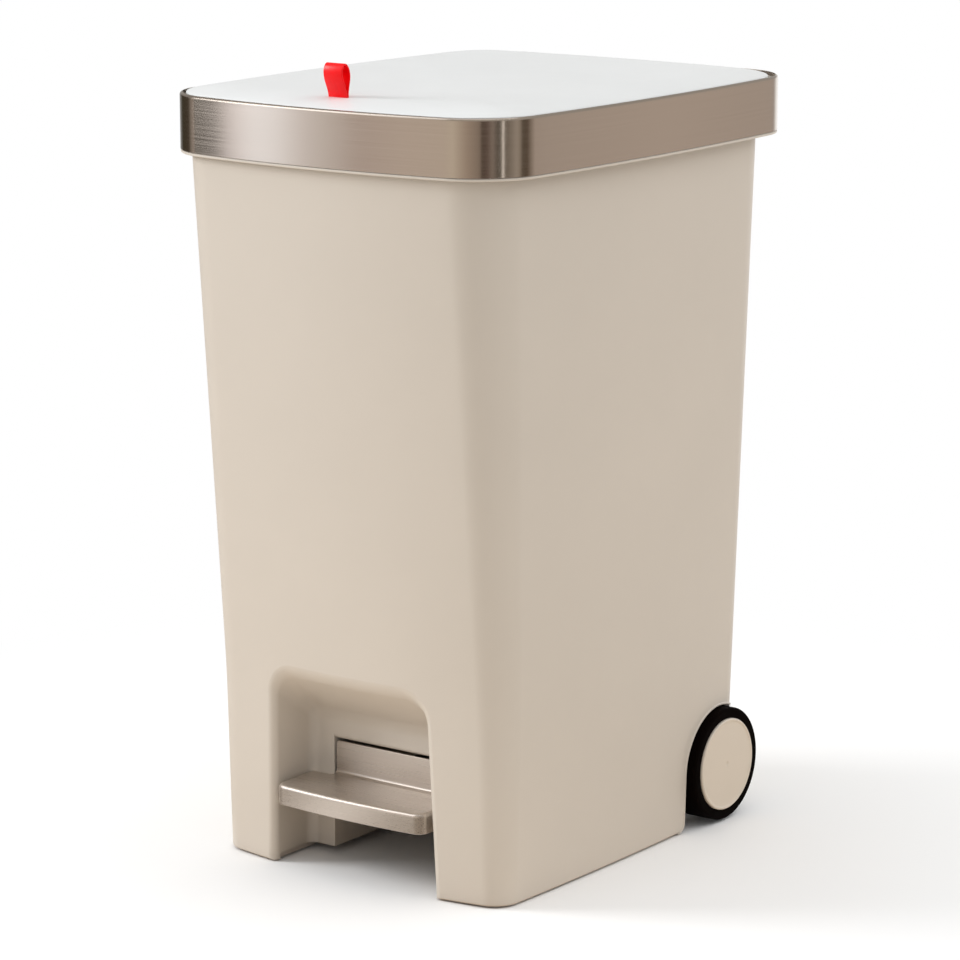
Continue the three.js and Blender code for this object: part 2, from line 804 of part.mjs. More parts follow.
const pinOut = earOuter + fit;
const pinSection = [
  [0, -pinOut - pinHead], [pivotRadius + pinHeadRim, -pinOut - pinHead],
  [pivotRadius + pinHeadRim, -pinOut], [pivotRadius, -pinOut],
  [pivotRadius, pinOut + pinHead * 2], [0, pinOut + pinHead * 2],
];
piece(body, 'pedal_pin', 'zinc', turned(pinSection, roundSteps)).position.set(0, ...pivot);

const clipInner = pivotRadius + fit;
const clipOuter = pivotRadius + pinHeadRim;
const clipSection = [
  [clipInner, 0], [clipOuter, 0], [clipOuter, pinHead], [clipInner, pinHead], [clipInner, 0],
];
piece(body, 'pedal_pin_clip', 'zinc', turned(clipSection, roundSteps)).position.set(pinOut, ...pivot);

// ---------------------------------------------------------------- axle and wheels

const hubInnerFace = wellInner + axleBossLength + 2 * fit;
const wheelDepth = wheelFace - hubInnerFace;
const capBack = wheelDepth - capDepth;
const hubFront = capBack - fit;
const sleeveFront = hubFront - axleRadius;
const axleEnd = hubInnerFace + sleeveFront + axleRadius / 2;

piece(body, 'wheel_axle', 'zinc', bar(axleRadius, [-axleEnd, ...axle], [axleEnd, ...axle]));

const tyreBore = capRadius + fit;

/** Tyre section, from its inner side out to the rounded shoulder beside the hub cap. */
function makeTyre() {
  const front = wheelDepth - tyreSetback;
  const back = front - wheelWidth;
  const shoulderCentre = [wheelRadius - tyreShoulder, front - tyreShoulder];
  const section = [
    [tyreBore, back + 1], [tyreBore + 1, back],
    [wheelRadius - tyreShoulder, back], [wheelRadius, back + tyreShoulder],
    ...arc(shoulderCentre, tyreShoulder, 0, 80, 3), [tyreBore, front], [tyreBore, back + 1],
  ];
  return turned(section, wheelSteps);
}

/** Hub: a sleeve on the axle, a disc and the rim that carries the tyre. */
function makeHub() {
  const bore = axleRadius + fit;
  const sleeve = bore + hubSleeve;
  const rimInner = capRadius - hubRim;
  const discBack = (wheelDepth - hubDisc) / 2;
  const discFront = discBack + hubDisc;
  const rimBack = wheelDepth - tyreSetback - wheelWidth + 1;
  const section = [
    [bore, 0], [sleeve, 0], [sleeve, discBack], [rimInner, discBack],
    [rimInner, rimBack], [capRadius, rimBack], [capRadius, hubFront], [rimInner, hubFront],
    [rimInner, discFront], [sleeve, discFront], [sleeve, sleeveFront],
    [bore, sleeveFront], [bore, 0],
  ];
  return turned(section, roundSteps);
}

/** Hub cap: a shallow dish with a raised rim and a small dimple in the middle. */
function makeHubCap() {
  const front = wheelDepth;
  const rim = 1.6;
  const shell = 2;
  const dish = front - rim / 2;
  const dimple = { radius: 3, depth: 0.5 };
  const section = [
    [0, dish - dimple.depth], [dimple.radius, dish], [capRadius - rim * 2, dish], [capRadius - rim, front],
    [capRadius - rim / 2, front], [capRadius, front - rim / 2], [capRadius, capBack],
    [capRadius - shell, capBack], [capRadius - shell, dish - shell], [0, dish - shell],
  ];
  return turned(section, wheelSteps);
}

/** Push-on cap that keeps the wheel on the axle. */
function makeAxleCap() {
  const back = sleeveFront + fit;
  const reach = axleEnd - hubInnerFace + fit;
  const bore = axleRadius + fit;
  const outer = axleRadius * 2;
  const crown = reach + screwTip * 0.8;
  const section = [
    [0, reach], [bore, reach], [bore, back], [outer, back], [outer, reach], [bore, crown], [0, crown],
  ];
  return turned(section, roundSteps);
}

for (const { side, label } of sides) {
  const wheel = new THREE.Group();
  wheel.position.set(side * hubInnerFace, ...axle);
  wheel.rotation.z = side > 0 ? 0 : Math.PI;
  pedalBin.add(wheel);
  piece(wheel, `tyre_${label}`, 'black', makeTyre());
  piece(wheel, `wheel_hub_${label}`, 'grey', makeHub());
  piece(wheel, `hub_cap_${label}`, 'beige', makeHubCap());
  piece(wheel, `axle_cap_${label}`, 'zinc', makeAxleCap());
}

// ---------------------------------------------------------------- lid

const lidPlan = { ...bandPlan, rear: bandRear - lidRearGap, corner: bandCorner + lidCornerGap };
const hingeScrewY = hingeLine[0] - hingeScrewForward;
const panelScrews = [];
for (const x of [-1, 1]) {
  for (const y of [-1, 1]) {
    panelScrews.push([x * (bandHalfWidth - panelScrewSideInset), y * (bandRear - panelScrewEndInset)]);
  }
}
const plateScrews = hingeMiddles.flatMap(({ x, label }) => [
  { name: `hinge_screw_${label}_1`, x: x - hingeScrewSpread, y: hingeScrewY },
  { name: `hinge_screw_${label}_2`, x: x + hingeScrewSpread, y: hingeScrewY },
]);
for (const { side, label } of sides) {
  plateScrews.push({ name: `crank_screw_${label}`, x: side * crankScrewX, y: hingeScrewY });
}

const loopPlace = loopSetback - bandFront - bandFrontBow;
const loopSurface = crownAt(loopSetback);
const loopUnder = loopSurface - lidShell;
const loopFootTop = loopUnder - 2 * fit;
const clipTop = loopFootTop - loopFootDepth - fit;
const clipHalf = loopWidth / 2 + bossRadius * 2;
const clipScrewX = loopWidth / 2 + bossRadius;

function makeLidPanel() {
  const insideInset = lidInset + lidShell;
  const steps = [0.08, 0.25, 0.5, 0.75, 1];
  const top = steps.map((share) => lidInset + lidCrownWidth * share);
  const under = top.filter((inset) => inset > insideInset + 1);
  const skirtBottom = lidEdge - lidSkirt;
  const section = [
    ...under.reverse().map((inset) => [inset, crownAt(inset) - lidShell]),
    [insideInset, crownAt(insideInset) - lidShell],
    [insideInset, skirtBottom],
    [lidInset, skirtBottom],
    ...arc([lidInset + lidEdgeRound, lidEdge - lidEdgeRound], lidEdgeRound, 180, 90, 2),
    ...top.map((inset) => [inset, crownAt(inset)]),
  ];
  let shell = skin(section.map(([inset, z]) => ringAt(lidPlan, inset, z)));
  const bossTop = lidEdge + lidCrown - lidShell / 2;
  const bosses = [...panelScrews, ...plateScrews.map(({ x, y }) => [x, y])];
  for (const [x, y] of bosses) {
    shell = join(shell, bar(bossRadius, [x, y, panelTop + fit], [x, y, bossTop]));
    shell = cut(shell, bar(screwRadius + fit, [x, y, panelBottom], [x, y, bossTop - lidShell]));
  }
  const [axisY, axisZ] = hingeLine;
  const swing = axisZ - webTop - lidEdgeRound * 2;
  const wide = bandHalfWidth * 2;
  const rearReach = bandRear + bandRearBow - lidInset - lidRearGap - axisY;
  const rearSkirt = Math.sqrt(Math.max(swing ** 2 - rearReach ** 2, 1));
  shell = cut(shell, box([-wide, axisY - 1, webBottom], [wide, bandRear * 2, axisZ - rearSkirt]));
  for (const { x } of hingeMiddles) {
    const half = lugSpan + 2;
    const low = [x - half, axisY - knuckleRadius * 3, webBottom];
    shell = cut(shell, box(low, [x + half, bandRear * 2, lidEdge - lidShell]));
  }
  for (const side of [-1, 1]) {
    const x = side * clipScrewX;
    const deep = loopSurface - lidShell / 2;
    shell = join(shell, bar(bossRadius, [x, loopPlace, clipTop + fit], [x, loopPlace, deep]));
    shell = cut(shell, bar(screwRadius + fit, [x, loopPlace, clipTop], [x, loopPlace, deep]));
  }
  const half = loopWidth / 2 + fit;
  const stem = loopStrap + fit * 2;
  return cut(shell, box([-half, loopPlace - stem, webBottom], [half, loopPlace + stem, lidEdge * 2]));
}

piece(lid, 'lid_panel', 'white', makeLidPanel());

function makeInnerPanel() {
  const inset = wall + fit + collarInnerWall + innerPanelInset;
  let panel = cut(
    block(rimPlan, inset, panelBottom, panelTop),
    channelForm(inset - innerPanelInset, panelTop + wall),
  );
  const holes = [...panelScrews, ...plateScrews.map(({ x, y }) => [x, y])];
  for (const [x, y] of holes) {
    panel = cut(panel, bar(screwRadius + fit, [x, y, panelBottom - wall], [x, y, panelTop + wall]));
  }
  return panel;
}

piece(lid, 'lid_inner_panel', 'white', makeInnerPanel());

panelScrews.forEach(([x, y], i) => {
  screw(lid, `panel_screw_${i + 1}`, [x, y, panelBottom - fit], [0, 0, 1], screwLength - innerPanel);
});

for (const { name, x, y } of plateScrews) {
  screw(lid, name, [x, y, plateBottom - fit], [0, 0, 1]);
}

/** Hinge leaf: a knuckle round the pin and a plate that is screwed under the lid. */
function makeHingeLeaf(x) {
  const [y, z] = hingeLine;
  const half = knuckleLength / 2;
  const plate = box([x - half, hingeScrewY - hingePlateMargin, plateBottom], [x + half, y, plateTop]);
  const knuckle = bar(knuckleRadius, [x - half, y, z], [x + half, y, z]);
  const bore = bar(hingePinRadius + fit, [x - half * 2, y, z], [x + half * 2, y, z]);
  const holes = [-1, 1].map((side) => {
    const holeX = x + side * hingeScrewSpread;
    return bar(screwRadius + fit, [holeX, hingeScrewY, webTop], [holeX, hingeScrewY, lidEdge]);
  });
  return cut(join(plate, knuckle), bore, ...holes);
}

for (const { x, label } of hingeMiddles) {
  piece(lid, `lid_hinge_${label}`, 'zinc', makeHingeLeaf(x));
}

/** Crank: a fin with a slot for the rod's cross pin, under a plate that is screwed to the lid. */
function makeCrank() {
  const [y, z] = hingeLine;
  const finHalf = forkGap - 2 * fit;
  const slotHalf = crossPinRadius + fit + crankSlotPlay;
  const near = crankReach - crankSlotPlay;
  const far = crankReach / Math.cos(crankAngle * degrees) + crankSlotPlay;
  const angle = -crankAngle * degrees;
  const place = (out, across) => [
    y - out * Math.cos(angle) + across * Math.sin(angle),
    z + out * Math.sin(angle) + across * Math.cos(angle),
  ];
  const band = (half) => {
    const ends = [
      ...arc([far, 0], half, -90, 90, cornerSteps),
      ...arc([near, 0], half, 90, 270, cornerSteps),
    ];
    return ends.map(([out, across]) => place(out, across));
  };
  const fin = prism('x', band(slotHalf + crankWall), -finHalf, finHalf);
  const neckFront = place(far + slotHalf, 0)[0];
  const neckRear = place(near, 0)[0];
  const neck = box([-finHalf, neckFront, place(near, 0)[1]], [finHalf, neckRear, plateTop]);
  const plateFront = hingeScrewY - hingePlateMargin;
  const plate = box([-crankHalf, plateFront, plateBottom], [crankHalf, neckRear, plateTop]);
  const holes = [-1, 1].map((side) => {
    const x = side * crankScrewX;
    return bar(screwRadius + fit, [x, hingeScrewY, webTop], [x, hingeScrewY, lidEdge]);
  });
  return cut(join(fin, neck, plate), prism('x', band(slotHalf), -finHalf * 2, finHalf * 2), ...holes);
}

piece(lid, 'lid_crank', 'zinc', makeCrank());

/** Pull loop: a strap folded into a standing loop, with its ends clamped under the lid. */
function makeLoop() {
  const steps = 14;
  const stem = loopStrap + fit / 2;
  const bulge = (h) => (h < loopWidest
    ? (1 - Math.cos((Math.PI * h) / loopWidest)) / 2
    : Math.sqrt(Math.max(1 - ((h - loopWidest) / (1 - loopWidest)) ** 2, 0)));
  const outlineOf = (thin) => {
    const front = [];
    const rear = [];
    for (let i = 0; i <= steps; i += 1) {
      const h = Math.sin((i / steps) * (Math.PI / 2));
      const half = stem + (loopDepth - stem) * bulge(h) - (h === 1 ? stem : 0) - thin;
      const z = loopSurface + h * (loopHeight - thin);
      if (half > 0 || h === 1) {
        const lean = -loopLean * h;
        front.push([loopPlace + lean - Math.max(half, 0), z]);
        rear.unshift([loopPlace + lean + Math.max(half, 0), z]);
      }
    }
    front.pop();
    return [...front, ...rear];
  };
  const half = loopWidth / 2;
  const eye = prism('x', outlineOf(loopStrap), -half * 2, half * 2);
  const ring = cut(prism('x', outlineOf(0), -half, half), eye);
  const low = loopFootTop - loopFootDepth;
  const stemBox = box([-half, loopPlace - stem, low], [half, loopPlace + stem, loopSurface + 1]);
  const foot = [loopPlace - loopFootHalf, loopPlace + loopFootHalf];
  const footBox = box([-half, foot[0], low], [half, foot[1], loopFootTop]);
  return join(ring, stemBox, footBox);
}

piece(lid, 'pull_loop', 'red', makeLoop());

function makeClip() {
  const plate = box(
    [-clipHalf, loopPlace - clipHalfDepth, clipTop - clipDepth],
    [clipHalf, loopPlace + clipHalfDepth, clipTop],
  );
  const holes = [-1, 1].map((side) => {
    const x = side * clipScrewX;
    return bar(screwRadius + fit, [x, loopPlace, webTop], [x, loopPlace, clipTop + fit]);
  });
  return cut(plate, ...holes);
}

piece(lid, 'loop_clip', 'grey', makeClip());

for (const { side, label } of sides) {
  const place = [side * clipScrewX, loopPlace, clipTop - clipDepth - fit];
  const length = loopSurface - lidShell - clipTop + clipDepth;
  screw(lid, `clip_screw_${label}`, place, [0, 0, 1], length);
}

// ---------------------------------------------------------------- pedal

const treadHalfFront = recessHalfAt(treadTop) - treadFrontSideGap;
const treadHalfRear = recessHalfAt(treadTop) - treadRearSideGap;
const treadFront = frontFace(treadTop) - treadProud;
const treadRear = recessBack - treadWallGap;
const plateHalf = tunnelHalf - plateGap;
const plateFace = recessBack + fit;

/** The tread's plan: a bowed front edge, rounded front corners and sides that widen to the rear. */
function treadOutline(inset) {
  const half = treadHalfFront - inset;
  const front = treadFront + inset;
  const corner = Math.max(treadCorner - inset, 1);
  const flatHalf = half - corner;
  const edge = Array.from({ length: sideSteps * 2 + 1 }, (_, i) => {
    const x = -flatHalf + (2 * flatHalf * i) / (sideSteps * 2);
    return [x, front + treadBow * (x / half) ** 2];
  });
  const cornerY = front + treadBow * (flatHalf / half) ** 2 + corner;
  const right = arc([flatHalf, cornerY], corner, -80, 0, cornerSteps);
  const left = arc([-flatHalf, cornerY], corner, 180, 260, cornerSteps);
  const rear = [[treadHalfRear - inset, treadRear], [-treadHalfRear + inset, treadRear]];
  return [...edge, ...right, ...rear, ...left];
}

const pedalScrewY = (treadFront + treadRear) / 2 + pedalBossDepth * 2;

/** Tread with a skirt round three sides and an upright plate that closes the tunnel's mouth. */
function makePedalPlate() {
  const low = treadTop - treadSkirt;
  const tray = prism('z', treadOutline(0), low, treadTop);
  const hollow = prism('z', treadOutline(treadSheet), low - wall, treadTop - treadSheet);
  const opened = box(
    [-treadHalfRear + treadSheet, treadRear - treadSheet, low - wall],
    [treadHalfRear - treadSheet, treadRear + wall, treadTop - treadSheet],
  );
  const bridge = box(
    [-plateHalf, treadRear - treadSheet, treadTop - treadSheet],
    [plateHalf, plateFace + treadSheet, treadTop],
  );
  const high = treadTop + plateHeight;
  const corner = 3;
  const profile = [
    [-plateHalf, treadTop - treadSheet], [plateHalf, treadTop - treadSheet],
    ...arc([plateHalf - corner, high - corner], corner, 0, 90, 4),
    ...arc([corner - plateHalf, high - corner], corner, 90, 180, 4),
  ];
  const upright = prism('y', profile, plateFace, plateFace + treadSheet);
  let plate = join(cut(tray, hollow, opened), bridge, upright);
  for (const side of [-1, 1]) {
    const x = side * pedalScrewSpread;
    const bossLow = treadTop - treadSheet - pedalBossDepth;
    const deep = treadTop - treadSheet / 2;
    plate = join(plate, bar(bossRadius, [x, pedalScrewY, bossLow], [x, pedalScrewY, deep]));
    plate = cut(plate, bar(screwRadius + fit, [x, pedalScrewY, low], [x, pedalScrewY, deep]));
  }
  return plate;
}

piece(pedal, 'pedal_plate', 'steel', makePedalPlate());

const leverEnd = rodAt(footContact) + footRadius + 2;
const leverFront = treadFront + treadBow + treadCorner + treadSheet;

/** The lever's plan: wide under the tread, narrower between the bracket's ears, narrowest under the rod. */
function leverOutline(inset) {
  const stations = [
    [leverFrontHalf, leverFront + inset],
    [leverFrontHalf, recessBack + leverNeckStart],
    [leverMiddleHalf, pivotBehind - leverNeckEnd],
    [leverMiddleHalf, pivotBehind + leverTailStart],
    [leverRearHalf, axleBehind],
    [leverRearHalf, leverEnd - inset],
  ];
  const right = stations.map(([half, y]) => [half - inset, y]);
  const left = stations.map(([half, y]) => [inset - half, y]).reverse();
  return [...right, ...left];
}

function makeLever() {
  const plate = prism('z', leverOutline(0), leverBottom, leverTop);
  const pocket = prism('z', leverOutline(leverSkin), leverBottom - wall, leverTop - leverSkin);
  const wide = bandHalfWidth;
  const frontPad = recessBack + leverNeckStart / 2;
  const rearPad = rodAt(footContact) - footRadius * 2;
  const solidFront = box([-wide, leverFront, leverBottom], [wide, frontPad, leverTop]);
  const solidRear = box([-wide, rearPad, leverBottom], [wide, leverEnd, leverTop]);
  const kept = plate.intersect(join(solidFront, solidRear));
  const boss = bar(pivotRadius + bossRadius, [-leverMiddleHalf, ...pivot], [leverMiddleHalf, ...pivot]);
  let lever = join(cut(plate, pocket), kept, boss);
  lever = cut(lever, bar(pivotRadius + fit, [-wide, ...pivot], [wide, ...pivot]));
  for (const side of [-1, 1]) {
    const x = side * pedalScrewSpread;
    const seat = treadTop - treadSheet - pedalBossDepth - fit;
    lever = cut(lever, bar(bossRadius + fit, [x, pedalScrewY, seat], [x, pedalScrewY, treadTop]));
    lever = cut(lever, bar(screwRadius + fit, [x, pedalScrewY, 0], [x, pedalScrewY, treadTop]));
  }
  return lever;
}

piece(pedal, 'pedal_lever', 'grey', makeLever());

for (const { side, label } of sides) {
  const place = [side * pedalScrewSpread, pedalScrewY, leverBottom - fit];
  screw(pedal, `pedal_screw_${label}`, place, [0, 0, 1], screwLength - 1);
}

// ---------------------------------------------------------------- lift rod

/** The point at a distance along the rod from a point on it. */
const alongRod = (start, distance) => start.clone().addScaledVector(rodWay, distance);
const footHeight = footContact + footRadius;
const footCentre = new THREE.Vector3(0, rodAt(footHeight), footHeight);
const headPin = new THREE.Vector3(0, ...crossPin);

const footBore = rodRadius + fit;
const footSection = [
  ...arc([0, 0], footRadius, -90, 0, cornerSteps), [footRadius, footLength],
  [footBore, footLength], [footBore, footFloor], [0, footFloor],
];
const rodFoot = piece(lift, 'rod_foot', 'black', turned(footSection, roundSteps));
rodFoot.position.copy(footCentre);
rodFoot.quaternion.setFromUnitVectors(new THREE.Vector3(1, 0, 0), rodWay);

const rodStart = alongRod(footCentre, footFloor + fit);
const rodEnd = alongRod(headPin, -forkRoot - footFloor);
piece(lift, 'lift_rod', 'zinc', bar(rodRadius, rodStart.toArray(), rodEnd.toArray()));

/** Fork at the rod's top: a socket for the rod and two cheeks that hold the cross pin. */
function makeFork() {
  const [y, z] = crossPin;
  const low = z - forkRoot - socketLength;
  const crown = arc(crossPin, forkReach, 0, 180, cornerSteps * 2);
  const profile = [[y - forkReach, low], [y + forkReach, low], ...crown];
  const solid = prism('x', profile, -forkHalf, forkHalf);
  const gap = box(
    [-forkGap, y - forkReach * 2, z - forkRoot],
    [forkGap, y + forkReach * 2, z + forkReach * 2],
  );
  const under = low - wall;
  const socket = bar(rodRadius + fit, [0, rodAt(under), under], alongRod(rodEnd, fit).toArray());
  const hole = bar(crossPinRadius + fit, [-forkHalf * 2, ...crossPin], [forkHalf * 2, ...crossPin]);
  return cut(solid, gap, socket, hole);
}

piece(lift, 'rod_fork', 'grey', makeFork());

const pinReach = forkHalf + fit;
const pinRim = crossPinRadius + crossPinRim;
const pinTip = pinReach + crossPinHead;
const crossPinSection = [
  [0, -pinTip], [pinRim, -pinTip], [pinRim, -pinReach], [crossPinRadius, -pinReach],
  [crossPinRadius, pinReach], [pinRim, pinReach], [pinRim, pinTip], [0, pinTip],
];
piece(lift, 'rod_cross_pin', 'zinc', turned(crossPinSection, roundSteps)).position.set(0, ...crossPin);

export default pedalBin;
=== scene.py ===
"""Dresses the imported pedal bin: finer surfaces for its main pieces, materials, studio light and a camera.

The object's sizes are in millimetres, as in the CAD source, and become metres when a mesh is made.
The studio's sizes are in metres.
"""

import json
import math

import bpy
from mathutils import Matrix, Vector


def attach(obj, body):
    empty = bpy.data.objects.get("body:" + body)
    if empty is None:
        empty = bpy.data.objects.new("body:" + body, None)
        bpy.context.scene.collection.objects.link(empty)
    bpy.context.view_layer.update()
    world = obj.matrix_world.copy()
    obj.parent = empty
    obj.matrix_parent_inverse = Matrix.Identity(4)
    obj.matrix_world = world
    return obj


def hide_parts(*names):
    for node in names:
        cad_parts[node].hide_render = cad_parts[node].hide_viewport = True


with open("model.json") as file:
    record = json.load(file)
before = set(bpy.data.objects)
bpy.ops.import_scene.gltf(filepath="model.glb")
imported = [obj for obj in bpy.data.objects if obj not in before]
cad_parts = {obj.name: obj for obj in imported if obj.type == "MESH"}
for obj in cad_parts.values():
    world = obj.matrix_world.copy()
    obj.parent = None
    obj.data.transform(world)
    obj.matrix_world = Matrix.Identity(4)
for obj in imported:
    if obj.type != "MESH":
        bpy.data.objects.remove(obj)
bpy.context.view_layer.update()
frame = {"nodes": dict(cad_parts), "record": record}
scene = bpy.context.scene
MM = 0.001

# ---------------- sizes

FIT = 0.3
WALL = 2.8

BAND_TOP = 690.0
RIM = 640.5
BAND = dict(half=181.0, front=226.5, rear=235.0, corner=48.0, side_bow=10.4, front_bow=19.0, rear_bow=10.5)
BAND_SHEET = 0.9
BAND_ROLL = 2.4
BAND_EDGE = 0.35

SIDE_OVERHANG = 11.1
FRONT_OVERHANG = 5.5
REAR_OVERHANG = 22.7
RIM_CORNER = 41.5
RIM_SIDE_BOW = 8.2
FRONT_BOW = 17.0
REAR_BOW = 12.0
SIDE_TAPER = 13.3
FRONT_TAPER = 38.3
REAR_TAPER = 29.0
FLOOR_CORNER = 20.0
FLOOR_SIDE_BOW = 3.8
KNEE = 170.0
KNEE_FLARE = 4.4
KNEE_SOFT = 26.0
FLOOR_GAP = 1.5
SILL = 2.0
LEG_LENGTH = 90.0
LEG_INNER = 14.0
BIN_FLOOR = 8.0
RELIEF = 7.0
FOOT_EDGE = 2.4
INNER_EDGE = 3.0
PAD_RADIUS = 13.0
PAD_POCKET = 1.8
PAD_SIDE_INSET = 32.0
FRONT_PAD_SETBACK = 46.0
REAR_PAD_FORWARD = 30.0
# Cutters reach this far, well outside the body.
PAST_SIDE = 362.0
PAST_FRONT = -300.0
PAST_REAR = 470.0
PAST_TOP = 800.0

RECESS_DEPTH = 60.5
RECESS_LOW_HALF = 89.3
RECESS_TOP_HALF = 83.5
RECESS_FRONT_TOP = 182.0
RECESS_BACK_TOP = 133.0
RECESS_FRONT_CORNER = 23.0
RECESS_BACK_CORNER = 12.0
RECESS_LIP = 8.0
RECESS_INNER = 9.0
RECESS_LOW = -5.0

TUNNEL_HALF = 61.5
TUNNEL_TOP = 113.5
LINTEL_DEPTH = 5.4
LINTEL_DROP = 4.8
BAY_TOP = 114.0
AXLE_Y = 151.5
WHEEL_Z = 55.2
AXLE_RADIUS = 4.0
AXLE_BOSS = 10.0
AXLE_BOSS_WALL = 5.5
BAY_SETBACK = 56.0
BAY_FRONT = AXLE_Y - BAY_SETBACK
WHEEL_RADIUS = 52.9
WHEEL_WIDTH = 32.0
ARCH_GAP = 1.0
ARCH = WHEEL_RADIUS + ARCH_GAP
ARCH_LIP = 0.8
ARCH_BEAD = 2.4
ARCH_RAISE = 0.8
HEEL = 8.0
WHEEL_FACE = 171.425
WELL_DEPTH = 47.0
WELL_INNER = WHEEL_FACE - WELL_DEPTH
BAY_HALF = WELL_INNER - WALL
CAP_RADIUS = 43.0
CAP_DEPTH = 5.4
TYRE_SETBACK = 1.6
TYRE_SHOULDER = 2.4
TYRE_BACK_ROUND = 4.0
TYRE_FLAT = 12.0
HUB_SLEEVE = 5.0
HUB_RIM = 3.5
HUB_DISC = 3.0

POCKET_DEPTH = 20.5
COLLAR_WEB = 3.0
COLLAR_WALL = 1.6
WEB_TOP = BAND_TOP - POCKET_DEPTH
WEB_BOTTOM = WEB_TOP - COLLAR_WEB
BODY_TOP = WEB_BOTTOM - FIT
COLLAR_OUT = BAND_SHEET + FIT
COLLAR_IN = COLLAR_OUT + COLLAR_WALL
COLLAR_LIP = 2.3
COLLAR_BELOW_BAND = 4.0
COLLAR_INNER_WALL = 2.0
COLLAR_INNER_DROP = 24.0

LID_EDGE = BAND_TOP + 0.5
LID_CROWN = 5.5
LID_CROWN_WIDTH = 50.0
LID_SHELL = 2.4
LID_SKIRT = 15.5
LID_GAP = 1.3
LID_INSET = COLLAR_IN + LID_GAP
LID_REAR_GAP = 7.0
LID_ROUND = 1.2
LID = dict(BAND, rear=228.0, corner=52.0)
PANEL_DROP = 7.6
PANEL_SHEET = 2.2
PANEL_TOP = LID_EDGE + LID_CROWN - LID_SHELL - PANEL_DROP
PANEL_BOTTOM = PANEL_TOP - PANEL_SHEET

HINGE_DROP = 6.5
HINGE_Z = BAND_TOP - HINGE_DROP
HINGE_Y = 229.72
HINGE_X = 95.0
KNUCKLE = 4.6
LUG_SPAN = 14.3
LUG_THICK = 5.0
LUG_REAR = 3.2
HINGE_PIN = 2.0
HINGE_PIN_HALF = 28.0
HINGE_SCREW_SPREAD = 5.2
HINGE_SCREW_Y = HINGE_Y - 28.0
CRANK_SCREW_X = 9.0
PANEL_SCREW_X = 119.5
PANEL_SCREW_Y = 129.2
SCREW = 1.6
BOSS = 4.5
SCREW_LENGTH = 10.0
BRACKET_SCREW_X = 20.3
BRACKET_SHEET = 2.5
PIVOT_Y = 45.0

ROD_INSET = 15.0
CHANNEL_HALF = 14.0
CHANNEL_BEHIND = 11.0
CHANNEL_LOW = 60.0
COVER_MARGIN = 10.0
COVER_SCREW_HEIGHTS = (75.2, 622.2)

TREAD_TOP = 77.0
TREAD_CORNER = 10.0
TREAD_BOW = 4.0
TREAD_SHEET = 2.4
TREAD_SKIRT = 18.5
TREAD_ROUND = 3.6
TREAD_PROUD = 3.0
TREAD_WALL_GAP = 7.5
TREAD_FRONT_SIDE_GAP = 4.85
TREAD_REAR_SIDE_GAP = 3.85
FOLD = 3.4
PLATE_HEIGHT = 30.0
PLATE_HALF = TUNNEL_HALF - 2.5
PLATE_CORNER = 3.0
PLATE_EDGE = 0.9
PLATE_ROOT = 6.0
PEDAL_SCREW_X = 31.0
PEDAL_BOSS = 5.6

LOOP_Y = -205.0
LOOP_HALF = 10.0
LOOP_STRAP = 1.3
LOOP_HEIGHT = 29.0
LOOP_LEAN = 3.2
LOOP_DEPTH = 5.9
LOOP_WIDEST = 0.7
LOOP_SETBACK = 40.5
LOOP_EDGE = 0.5
LOOP_FOOT = 1.6

CORNER_STEPS = 16
SIDE_STEPS = 22
TURNED_STEPS = 96

# ---------------- camera

CAMERA_AZIMUTH, CAMERA_ELEVATION = 36.27, 12.19
CAMERA_PLACE = (1.98170, -2.70422, 1.05353)
CAMERA_LENS = 141.83


def make_camera():
    """A long lens to the front right of the bin, a little above its lid."""
    azimuth, elevation = math.radians(CAMERA_AZIMUTH), math.radians(CAMERA_ELEVATION)
    level = math.cos(elevation)
    back = Vector((math.sin(azimuth) * level, -math.cos(azimuth) * level, math.sin(elevation)))
    right = Vector((math.cos(azimuth), math.sin(azimuth), 0.0))
    up = back.cross(right)
    data = bpy.data.cameras.new("camera")
    data.lens = CAMERA_LENS
    data.sensor_width = 36.0
    data.clip_end = 60.0
    camera = bpy.data.objects.new("camera", data)
    turn = Matrix((right, up, back)).transposed().to_4x4()
    camera.matrix_world = Matrix.Translation(CAMERA_PLACE) @ turn
    scene.collection.objects.link(camera)
    scene.camera = camera


make_camera()

# ---------------- shapes


def plan_at(z):
    """The body's plan at a height. Its front leans out above the knee, and less below it."""
    down = 1 - min(max(z / RIM, 0.0), 1.0)
    rim_front = BAND["front"] - FRONT_OVERHANG
    knee_front = rim_front - FRONT_TAPER + KNEE_FLARE
    high = min(z, RIM)
    above = (rim_front - knee_front) / (RIM - KNEE)
    below = KNEE_FLARE / KNEE
    away = high - KNEE
    if away > KNEE_SOFT:
        front = knee_front + above * away
    elif away < -KNEE_SOFT:
        front = knee_front + below * away
    else:
        share = (away + KNEE_SOFT) / (2 * KNEE_SOFT)
        slope = below * share + (above - below) * share**2 / 2
        front = knee_front + KNEE_SOFT * (2 * slope - below)
    return dict(
        half=BAND["half"] - SIDE_OVERHANG - SIDE_TAPER * down,
        front=front,
        rear=BAND["rear"] - REAR_OVERHANG - REAR_TAPER * down,
        corner=RIM_CORNER + (FLOOR_CORNER - RIM_CORNER) * down,
        side_bow=RIM_SIDE_BOW + (FLOOR_SIDE_BOW - RIM_SIDE_BOW) * down,
        front_bow=FRONT_BOW,
        rear_bow=REAR_BOW,
    )


RIM_PLAN = plan_at(RIM)


def divide(start, end, steps):
    """Evenly spaced points on a line, with its start and without its end."""
    return [tuple(a + (b - a) * i / steps for a, b in zip(start, end)) for i in range(steps)]


